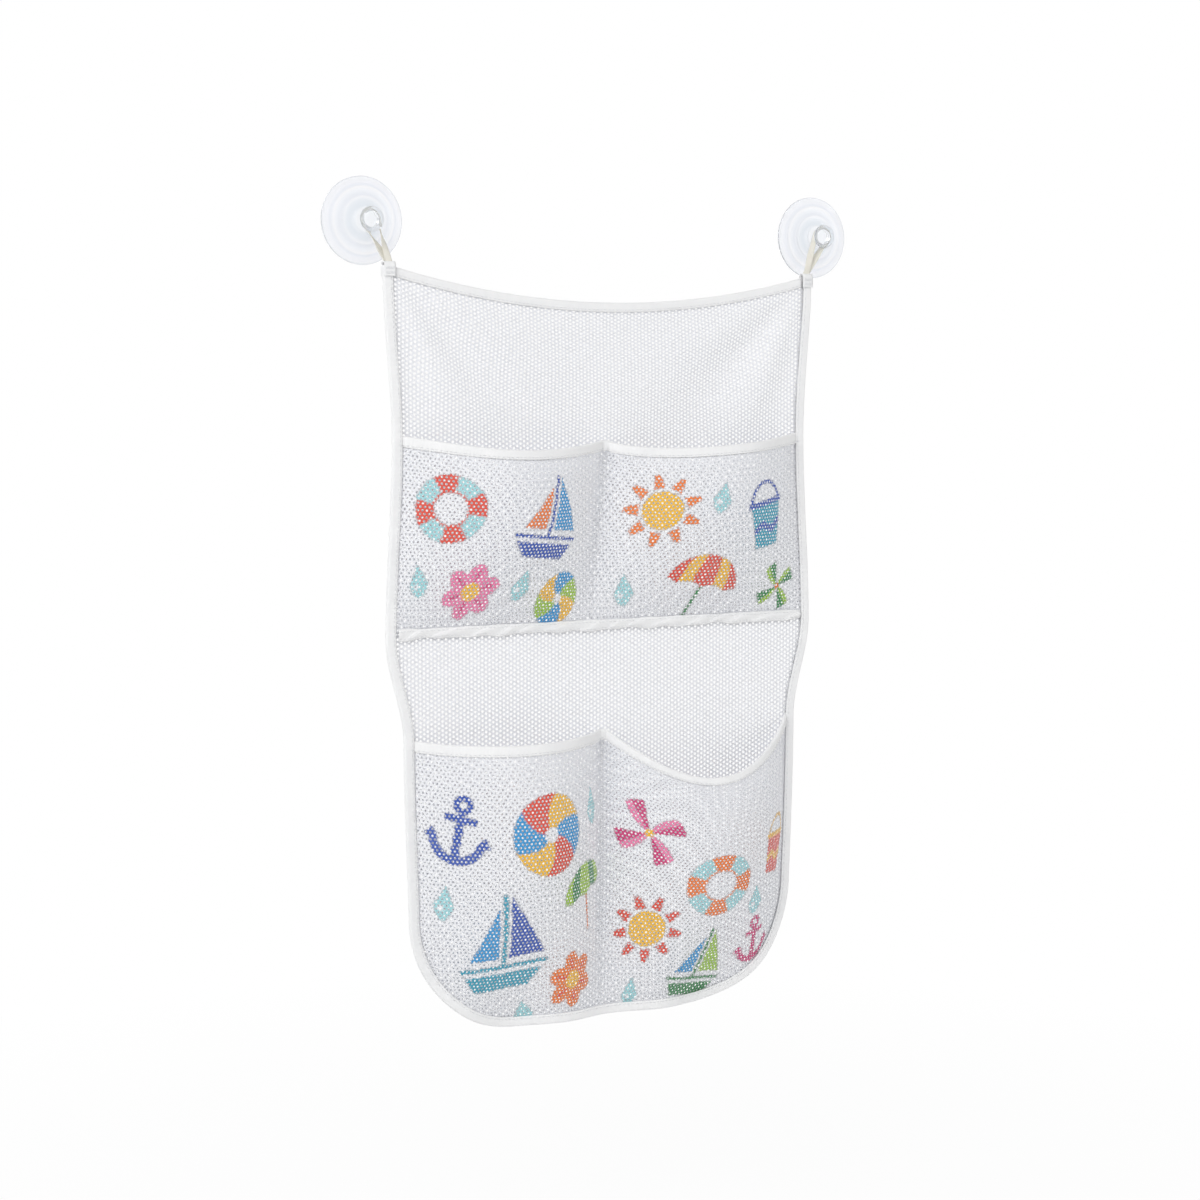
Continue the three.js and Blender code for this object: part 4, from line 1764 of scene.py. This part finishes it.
        def flat_at(along: Array, inset: Array) -> tuple[Array, Array]:
            """Finds flat places inside the outline.

            Args:
                along: Shares along it.
                inset: Distances inside it.

            Returns:
                The cut's x and z.
            """
            here = np.clip(along, 0, 1) * length
            x, z = np.interp(here, run, x_line), np.interp(here, run, z_line)
            dx = np.interp(here + step, run, x_line) - np.interp(here - step, run, x_line)
            dz = np.interp(here + step, run, z_line) - np.interp(here - step, run, z_line)
            size = np.hypot(dx, dz)
            return x - inset * dz / size, z + inset * dx / size

        def place(along: Array, inset: Array) -> Array:
            """Hangs places inside the outline, as deep as the cloth at the tape's inner edge.

            Args:
                along: Shares along the outline.
                inset: Distances inside it.

            Returns:
                The hung points.
            """
            inner = cut.cloth(*flat_at(along, np.full_like(along, cut.edge_face)))
            placed = cut.cloth(*flat_at(along, inset))
            placed[:, 1] = inner[:, 1]
            return placed

        return self.taped(EdgeLine(place, length), "edge_binding", self.edge_section)

    def mouth_tape(self, row: PocketRow) -> list[Piece]:
        """The tape over a row's two mouths.

        Args:
            row: The row.

        Returns:
            The tape and its stitches.
        """
        left, right = row.ends(row.mouth_z)
        x_steps = np.linspace(left - self.mouth_reach, right + self.mouth_reach, self.mouth_samples)
        run = run_lengths(*row.surface(x_steps, np.full_like(x_steps, row.mouth_z)).T)
        length = float(run[-1])

        def place(along: Array, inset: Array) -> Array:
            """Points below the mouths."""
            return row.surface(np.interp(along * length, run, x_steps), row.mouth_z - inset)

        def normal(along: Array, inset: Array) -> Array:
            """The way out of the pockets there."""
            return row.normals(np.interp(along * length, run, x_steps), row.mouth_z - inset)

        line = EdgeLine(place, length, normal)
        return self.taped(line, f"{row.word}_mouth_binding", self.mouth_section)

    def divider(self, row: PocketRow) -> Piece:
        """The stitches that part a row's two pockets, in two lines.

        Args:
            row: The row.

        Returns:
            The stitches.
        """
        high = row.mouth_z - self.mouth_section.face - self.divider_margin
        low = row.foot_z + self.divider_margin

        def place(along: Array, inset: Array) -> Array:
            """Points down the centre seam, beside its middle."""
            z = mix(high, low, along)
            return row.surface(self.cut.divider_x(z) + inset, z)

        line = EdgeLine(place, high - low)
        shifts = (-self.divider_gap / 2, self.divider_gap / 2)
        rows = [line.stitch_row(shift, self.divider_lift) for shift in shifts]
        stitches = STITCH.sew(f"{row.word}_divider_stitches", rows, self.finishes.thread)
        return seat(stitches, Body.BAG, Slot.THREAD, f"{row.word}_divider_seam")

    def hem_tape(self, row: PocketRow) -> list[Piece]:
        """The gathered band over a row's foot, with a row of stitches along each edge.

        Args:
            row: The row.

        Returns:
            The band and its stitches.
        """
        left, right = row.ends(row.end_z)
        length = right - left - 2 * self.hem_gap
        face = row.foot_z - row.end_z
        skin = self.hem_thickness / 2

        def bent(along: Array, across: Array) -> Array:
            """Bends the tucked band.

            Args:
                along: Shares along it.
                across: Shares across it.

            Returns:
                The points of its middle.
            """
            run = along * length
            crown = self.hem_crown * (1 - (2 * across - 1) ** 4)
            inset = across * face + self.gathers.stray(run, across)
            x = mix(left + self.hem_gap, right - self.hem_gap, along)
            lift = skin + self.hem_lift + crown + self.gathers.rise(run, across)
            return row.surface(x, row.foot_z - inset) + FRONT * lift[:, None]

        def place(along: Array, inset: Array) -> Array:
            """Points below the band's upper edge."""
            return bent(along, inset / face)

        name = f"{row.word}_hem"
        cells = (math.ceil(length / self.hem_step), self.hem_cells)
        tape = grid_piece(
            f"{name}_tape", cells, (length, face), bent, self.finishes.tape, self.hem_thickness
        )
        band = EdgeLine(place, length)
        insets = (self.stitch_inset, face - self.stitch_inset)
        rows = [band.stitch_row(inset, skin) for inset in insets]
        stitches = STITCH.sew(f"{name}_stitches", rows, self.finishes.thread)
        return [
            seat(tape, Body.BAG, Slot.TAPE, f"{row.word}_pocket_hem"),
            seat(stitches, Body.BAG, Slot.THREAD),
        ]


def curved(start: Pair, pull: Pair, end: Pair, steps: int = 8) -> list[Pair]:
    """Draws a curve.

    Args:
        start: Its start.
        pull: The corner that pulls it.
        end: Its end.
        steps: Into how many lines it is cut.

    Returns:
        Its points, both ends among them.
    """
    shares = np.linspace(0, 1, steps + 1)[:, None]
    first, corner, last = np.array(start), np.array(pull), np.array(end)
    bent = first * (1 - shares) ** 2 + 2 * corner * shares * (1 - shares) + last * shares**2
    return [tuple(point) for point in bent]


@dataclass(frozen=True)
class CupSection:
    """A suction cup's section, as radii and distances from the wall."""

    radius: float = CUP_RADIUS
    contact_width: float = 4 * MM
    rim: float = 1.1 * MM
    hollow: float = 2.6 * MM
    step: float = 0.5 * MM
    inner_step: float = 15.4 * MM
    outer_step: float = 21.9 * MM
    dome: float = 8.6 * MM
    groove: float = 9.4 * MM
    neck_radius: float = 4.5 * MM
    neck_end: float = 14.9 * MM
    head_radius: float = 8.2 * MM
    head_lip: float = 1.4 * MM
    head_end: float = 20.5 * MM
    tip_samples: int = 12

    def head(self) -> list[Pair]:
        """The mushroom head and the neck below it.

        Returns:
            The section's points down to the dome.
        """
        head, neck, under = self.head_radius, self.neck_radius, self.neck_end
        lip_end = under + self.head_lip
        turns = np.linspace(0, np.pi / 2, self.tip_samples)
        return [
            *((head * math.sin(a), mix(lip_end, self.head_end, math.cos(a))) for a in turns),
            *curved((head, lip_end), (head, under), (7.0 * MM, under)),
            *curved((5.2 * MM, under), (neck, under), (neck, under - 0.6 * MM)),
            *curved((neck, self.groove), (neck, self.dome), (5.3 * MM, self.dome)),
        ]

    def shell(self) -> list[Pair]:
        """The stepped dome, the rim and the hollow.

        Returns:
            The section's points from the dome's top to the middle of the hollow.
        """
        radius, step, inner, outer = self.radius, self.step, self.inner_step, self.outer_step
        contact = radius - self.contact_width
        fold = 1.4 * step
        return [
            *curved((7.4 * MM, self.dome), (8.0 * MM, self.dome), (8.3 * MM, self.dome - 0.8 * MM)),
            *curved((8.5 * MM, 7.5 * MM), (11 * MM, 6.2 * MM), (inner - step, 5.8 * MM)),
            *curved((inner, 5.7 * MM), (inner + step, 5.6 * MM), (inner + step, 5.0 * MM)),
            *curved((inner + fold, 4.9 * MM), (19 * MM, 4.1 * MM), (outer - step, 3.8 * MM)),
            *curved((outer, 3.7 * MM), (outer + step, 3.6 * MM), (outer + step, 3.0 * MM)),
            *curved((outer + fold, 2.9 * MM), (26 * MM, 1.7 * MM), (radius - step, self.rim)),
            *curved((radius - step, self.rim), (radius, self.rim), (radius, self.rim / 2), steps=4),
            (radius, 0.0),
            (contact, 0.0),
            *curved((contact, 0.0), (contact / 2, self.hollow), (0.0, self.hollow), steps=14),
        ]


@dataclass(frozen=True)
class Hanger:
    """One corner's tack, ribbon loop and suction cup."""

    side: Side
    finishes: Finishes
    cup_x: float
    hang_y: float
    swing_y: float
    corner_z: float
    tack_x: float
    tack_width: float = 8 * MM
    tack_leg: float = 7 * MM
    tack_middle: float = 2.5 * MM
    tack_thickness: float = 0.7 * MM
    tack_cells: tuple[int, int] = (6, 30)
    bar_stitches: int = 6
    bar_drops: Pair = (1.6 * MM, 4.6 * MM)
    bar_margin: float = 1 * MM
    bar_lean: float = 0.35
    bar_lift: float = 0.1 * MM
    ribbon_width: float = 4.5 * MM
    ribbon_thickness: float = 0.8 * MM
    ribbon_crown: float = 0.18 * MM
    ribbon_steps: int = 40
    ribbon_cells: tuple[int, int] = (150, 6)
    ribbon_sunk: float = 0.5 * MM
    ribbon_bend: float = 8 * MM
    clearance: float = 0.3 * MM
    section: CupSection = CupSection()
    cup_turns: int = 96
    cup_weld: float = 0.02 * MM
    cup_sharp_degrees: float = 40.0

    def dress(self) -> None:
        """Builds the corner's pieces."""
        self.tack()
        self.loop()
        self.cup()

    @property
    def corner_x(self) -> float:
        """Where the tack lies."""
        return self.side.value * self.tack_x

    def tack(self) -> None:
        """A short tape folded over the corner, with two bars of close stitches on each face."""
        arc = self.tack_middle * math.pi
        length = 2 * self.tack_leg + arc

        def bent(across: Array, around: Array) -> Array:
            """Folds the tape.

            Args:
                across: Shares across it.
                around: Shares along it, over the corner.

            Returns:
                The points of its middle.
            """
            run = around * length - self.tack_leg
            turn = np.clip(run / self.tack_middle, 0.0, math.pi)
            below = np.maximum(-run, run - arc).clip(0.0)
            x = self.corner_x + (across - 0.5) * self.tack_width
            y = self.swing_y - self.tack_middle * np.cos(turn)
            return points(x, y, self.corner_z + self.tack_middle * np.sin(turn) - below)

        name = f"{self.side.word}_corner_tack"
        tape = grid_piece(
            f"{name}_tape",
            self.tack_cells,
            (self.tack_width, length),
            bent,
            self.finishes.tape,
            self.tack_thickness,
        )
        stitches = STITCH.sew(f"{name}_stitches", self.tack_bars(), self.finishes.thread)
        seat(tape, Body.BAG, Slot.TAPE, name)
        seat(stitches, Body.BAG, Slot.THREAD)

    def tack_bars(self) -> list[StitchRow]:
        """Lays out the tack's bars of leaning stitches.

        Returns:
            Each bar's places, the ways its stitches run and the ways out of the tape.
        """
        count = self.bar_stitches
        shares = (np.arange(count) + 0.5) / count
        x = self.corner_x + (shares - 0.5) * (self.tack_width - 2 * self.bar_margin)
        lean = unit(points(np.full(count, self.bar_lean), 0.0, 1.0))
        lift = self.tack_middle + self.tack_thickness / 2 + self.bar_lift
        bars = []
        for face in (-1.0, 1.0):
            out = np.tile([0.0, face, 0.0], (count, 1))
            for drop in self.bar_drops:
                places = points(x, self.swing_y + face * lift, self.corner_z - drop)
                bars.append((places, lean, out))
        return bars

    def ribbon_line(self) -> tuple[Array, Array]:
        """The ribbon's middle line from the tack round the neck and back.

        Returns:
            The line's points and the ways out of the ribbon's outer face.
        """
        steps = self.ribbon_steps
        wrap = self.section.neck_radius + self.clearance + self.ribbon_thickness / 2
        stack = (self.ribbon_thickness + self.clearance) / 2
        foot_x = self.tack_x - self.cup_x
        foot_z = self.corner_z + self.tack_middle + self.tack_thickness / 2 - self.ribbon_sunk
        foot_angle = math.atan2(foot_z, foot_x)
        spread = math.acos(wrap / math.hypot(foot_x, foot_z))

        def radial(angle: Array) -> Array:
            """Unit vectors about the cup's axis."""
            return points(np.cos(angle), 0.0, np.sin(angle))

        def strand(hand: float) -> tuple[Array, Array]:
            """Draws one strand from the tack to the neck, with a quarter twist.

            Args:
                hand: -1 for the strand in front, 1 for the one behind.

            Returns:
                The strand's points and the ways out of its outer face.
            """
            rise = np.linspace(0.0, 1.0, steps)
            twist = np.pi / 2 * (1 - ease(rise, 0.0, 1.0))
            out = radial(np.full(steps, foot_angle + hand * spread))
            foot = np.array([foot_x, self.swing_y - self.hang_y + hand * stack, foot_z])
            thick = out * np.cos(twist)[:, None]
            thick[:, 1] = hand * np.sin(twist)
            return mix(foot, out * wrap, rise[:, None]), thick

        start, end = 2 * np.pi + foot_angle - spread, foot_angle + spread
        over = radial(np.linspace(start, end, steps + 2)[1:-1])
        first, second = strand(-1.0), strand(1.0)
        line = np.concatenate([first[0], over * wrap, second[0][::-1]])
        thick = np.concatenate([first[1], over, second[1][::-1]])
        flip = np.array([self.side.value, 1.0, 1.0])
        shift = np.array([self.side.value * self.cup_x, self.hang_y, 0.0])
        return line * flip + shift, thick * flip

    def loop(self) -> None:
        """The ribbon, from the tack round the cup's neck and back."""
        line, thick = self.ribbon_line()
        along = np.gradient(line, axis=0)
        along[0, 0] = along[-1, 0] = 0.0
        wide = unit(np.cross(along, thick))
        stations = np.linspace(0.0, 1.0, len(line))
        length = float(run_lengths(*line.T)[-1])

        def track(rows: Array, share: Array) -> Array:
            """Rows of the line at shares along it."""
            return np.stack([np.interp(share, stations, column) for column in rows.T], axis=1)

        def bent(share: Array, across: Array) -> Array:
            """Bends the twisted ribbon.

            Args:
                share: Shares along it.
                across: Shares across it.

            Returns:
                The points of its middle.
            """
            offset = (across - 0.5) * self.ribbon_width
            lift = self.ribbon_crown * (1 - (2 * across - 1) ** 2)
            side, out = track(wide, share) * offset[:, None], track(thick, share) * lift[:, None]
            return track(line, share) + side + out

        name = f"{self.side.word}_hanging_loop"
        ribbon = grid_piece(
            f"{name}_ribbon",
            self.ribbon_cells,
            (length, self.ribbon_width),
            bent,
            self.finishes.ribbon,
            self.ribbon_thickness - self.ribbon_crown,
        )
        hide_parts(name)
        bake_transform(ribbon)
        LOG.info("%s: %.0f mm of ribbon", ribbon.name, length / MM)

    def cup(self) -> None:
        """The clear cup, spun about its axis."""
        centre = Vector((self.side.value * self.cup_x, 0.0, 0.0))
        profile = [*self.section.head(), *self.section.shell()]
        bm = bmesh.new()
        ring = [bm.verts.new(centre + Vector((r, -h, 0.0))) for r, h in profile]
        for first, second in zip(ring, ring[1:]):
            bm.edges.new((first, second))
        bmesh.ops.spin(
            bm,
            geom=[*bm.verts, *bm.edges],
            cent=centre,
            axis=Vector((0.0, 1.0, 0.0)),
            angle=2 * math.pi,
            steps=self.cup_turns,
            use_merge=True,
        )
        bmesh.ops.remove_doubles(bm, verts=bm.verts, dist=self.cup_weld)
        bmesh.ops.recalc_face_normals(bm, faces=bm.faces)
        name = f"{self.side.word}_suction_cup"
        cup = mesh_object(bm, f"{name}_vinyl", self.finishes.vinyl)
        cup.data.set_sharp_from_angle(angle=math.radians(self.cup_sharp_degrees))
        seat(cup, Body[f"{self.side.name}_CUP"], Slot.VINYL, name)


@dataclass(frozen=True)
class Lamp:
    """A square soft lamp."""

    name: str
    place: Point
    size: float
    power: float


@dataclass(frozen=True)
class Studio:
    """A white studio: a pale floor, soft lamps, and a camera at the photographed angle."""

    eye: Point = (-0.856, -1.486, -0.115)
    aim: Point = (-0.0038, -0.0095, -0.252)
    view_degrees: float = 27.0
    sensor: float = 36.0
    lamps: tuple[Lamp, ...] = (
        Lamp("key_lamp", (-1.9, -1.6, 1.2), 2.0, 40.0),
        Lamp("fill_lamp", (1.9, -1.6, 0.3), 1.6, 10.0),
        Lamp("back_lamp", (-1.1, 1.7, 1.2), 1.4, 16.0),
    )
    ambient: float = 0.46
    backdrop_degrees: Pair = (20.0, 42.0)
    side_white: float = 0.6
    floor_z: float = -0.72
    floor_size: float = 8.0
    floor_clear: Pair = (0.25, 0.9)
    floor_white: Pair = (0.93, 1.0)

    def build(self) -> None:
        """Sets the stage."""
        bpy.context.scene.view_settings.view_transform = "Standard"
        self.camera()
        self.world()
        self.floor()
        for lamp in self.lamps:
            data = bpy.data.lights.new(lamp.name, "AREA")
            data.size = lamp.size
            data.energy = lamp.power
            self.stand(lamp.name, data, lamp.place)

    def stand(self, name: str, data: bpy.types.ID, place: Point) -> Piece:
        """Stands the camera or a lamp somewhere, facing the bag.

        Args:
            name: Its name.
            data: The camera or the light.
            place: Where it stands.

        Returns:
            The object.
        """
        made = bpy.data.objects.new(name, data)
        made.location = place
        toward = Vector(self.aim) - Vector(place)
        made.rotation_euler = toward.to_track_quat("-Z", "Y").to_euler()
        bpy.context.scene.collection.objects.link(made)
        return made

    def camera(self) -> None:
        """The camera, upright and unshifted."""
        data = bpy.data.cameras.new("camera")
        data.sensor_width = self.sensor
        data.lens = self.sensor / 2 / math.tan(math.radians(self.view_degrees) / 2)
        bpy.context.scene.camera = self.stand("camera", data, self.eye)

    def seen_white(self, graph: Graph) -> Signal:
        """Finds the rays that show the background straight, in gloss or through vinyl.

        Args:
            graph: The graph to write in.

        Returns:
            1 for such rays, 0 for the others.
        """
        kinds = ("Is Camera Ray", "Is Glossy Ray", "Is Transmission Ray")
        straight, gloss, through = (graph.node("ShaderNodeLightPath", output=k) for k in kinds)
        return straight.most(gloss).most(through)

    def backdrop(self, graph: Graph) -> Signal:
        """Finds the rays towards a white backdrop behind and before the bag.

        Args:
            graph: The world's graph.

        Returns:
            1 towards it, easing to 0 at its sides.
        """
        ray = graph.node("ShaderNodeTexCoord", output="Generated")
        view = (Vector(self.aim) - Vector(self.eye)).normalized()
        dot = {"operation": "DOT_PRODUCT"}
        facing = graph.node("ShaderNodeVectorMath", dot, {0: ray, 1: view}, output="Value")
        near, far = (math.cos(math.radians(degrees)) for degrees in self.backdrop_degrees)
        limits = {"Value": facing.size(), "From Min": far, "From Max": near}
        return graph.node("ShaderNodeMapRange", {"interpolation_type": "SMOOTHSTEP"}, limits)

    def world(self) -> None:
        """Soft grey ambient light, white where the camera looks or a ray meets the backdrop."""
        world = bpy.data.worlds.new("studio")
        world.use_nodes = True
        bpy.context.scene.world = world
        graph = Graph(world.node_tree)
        camera = graph.node("ShaderNodeLightPath", output="Is Camera Ray")
        around = mix(self.side_white, 1.0, self.backdrop(graph))
        white = camera.most(self.seen_white(graph) * around)
        strength = self.ambient + white * (1 - self.ambient)
        inputs = {"Color": linear("FFFFFF"), "Strength": strength}
        light = graph.node("ShaderNodeBackground", inputs=inputs)
        graph.node("ShaderNodeOutputWorld", inputs={"Surface": light})

    def floor(self) -> None:
        """A pale floor that keeps a faint shadow and turns into the white background."""
        bm = bmesh.new()
        place = Matrix.Translation((0.0, 0.0, self.floor_z))
        bmesh.ops.create_grid(bm, x_segments=1, y_segments=1, size=self.floor_size, matrix=place)
        material, graph = new_material("pale_floor")
        pale = graph.node("ShaderNodeBsdfDiffuse", inputs={"Color": linear("F2F2F2")})
        white = graph.node("ShaderNodeEmission", inputs={"Color": linear("FFFFFF")})
        length, at = {"operation": "LENGTH"}, {0: graph.place()}
        limits = {
            "Value": graph.node("ShaderNodeVectorMath", length, at, output="Value"),
            "From Min": math.hypot(self.floor_z, self.floor_clear[0]),
            "From Max": math.hypot(self.floor_z, self.floor_clear[1]),
            "To Min": self.floor_white[0],
            "To Max": self.floor_white[1],
        }
        share = self.seen_white(graph) * graph.node("ShaderNodeMapRange", inputs=limits)
        mixed = graph.node("ShaderNodeMixShader", inputs={0: share, 1: pale, 2: white})
        graph.node("ShaderNodeOutputMaterial", inputs={"Surface": mixed})
        mesh_object(bm, "floor", material)


def hinge_at(frame: dict[str, Any], name: str) -> Vector:
    """The place of one of the frame's joints."""
    return Vector(next(joint["pos_m"] for joint in frame["joints"] if joint["name"] == name))


def main() -> None:
    """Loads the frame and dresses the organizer."""
    logging.basicConfig(level=logging.INFO, format="%(name)s: %(message)s")
    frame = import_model()
    swing = hinge_at(frame, "bag_swing")
    cup_x = abs(hinge_at(frame, "left_cup_turn").x)
    finishes = Finishes(cup_x)
    cut = BagCut.from_frame(swing.y)
    Studio().build()
    Bag(cut, finishes).dress()
    for side in Side:
        low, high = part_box(f"{side.word}_corner_tack")
        Hanger(
            side=side,
            finishes=finishes,
            cup_x=cup_x,
            hang_y=cut.hang_y,
            swing_y=swing.y,
            corner_z=swing.z,
            tack_x=abs(low.x + high.x) / 2,
        ).dress()


if __name__ == "__main__":
    main()
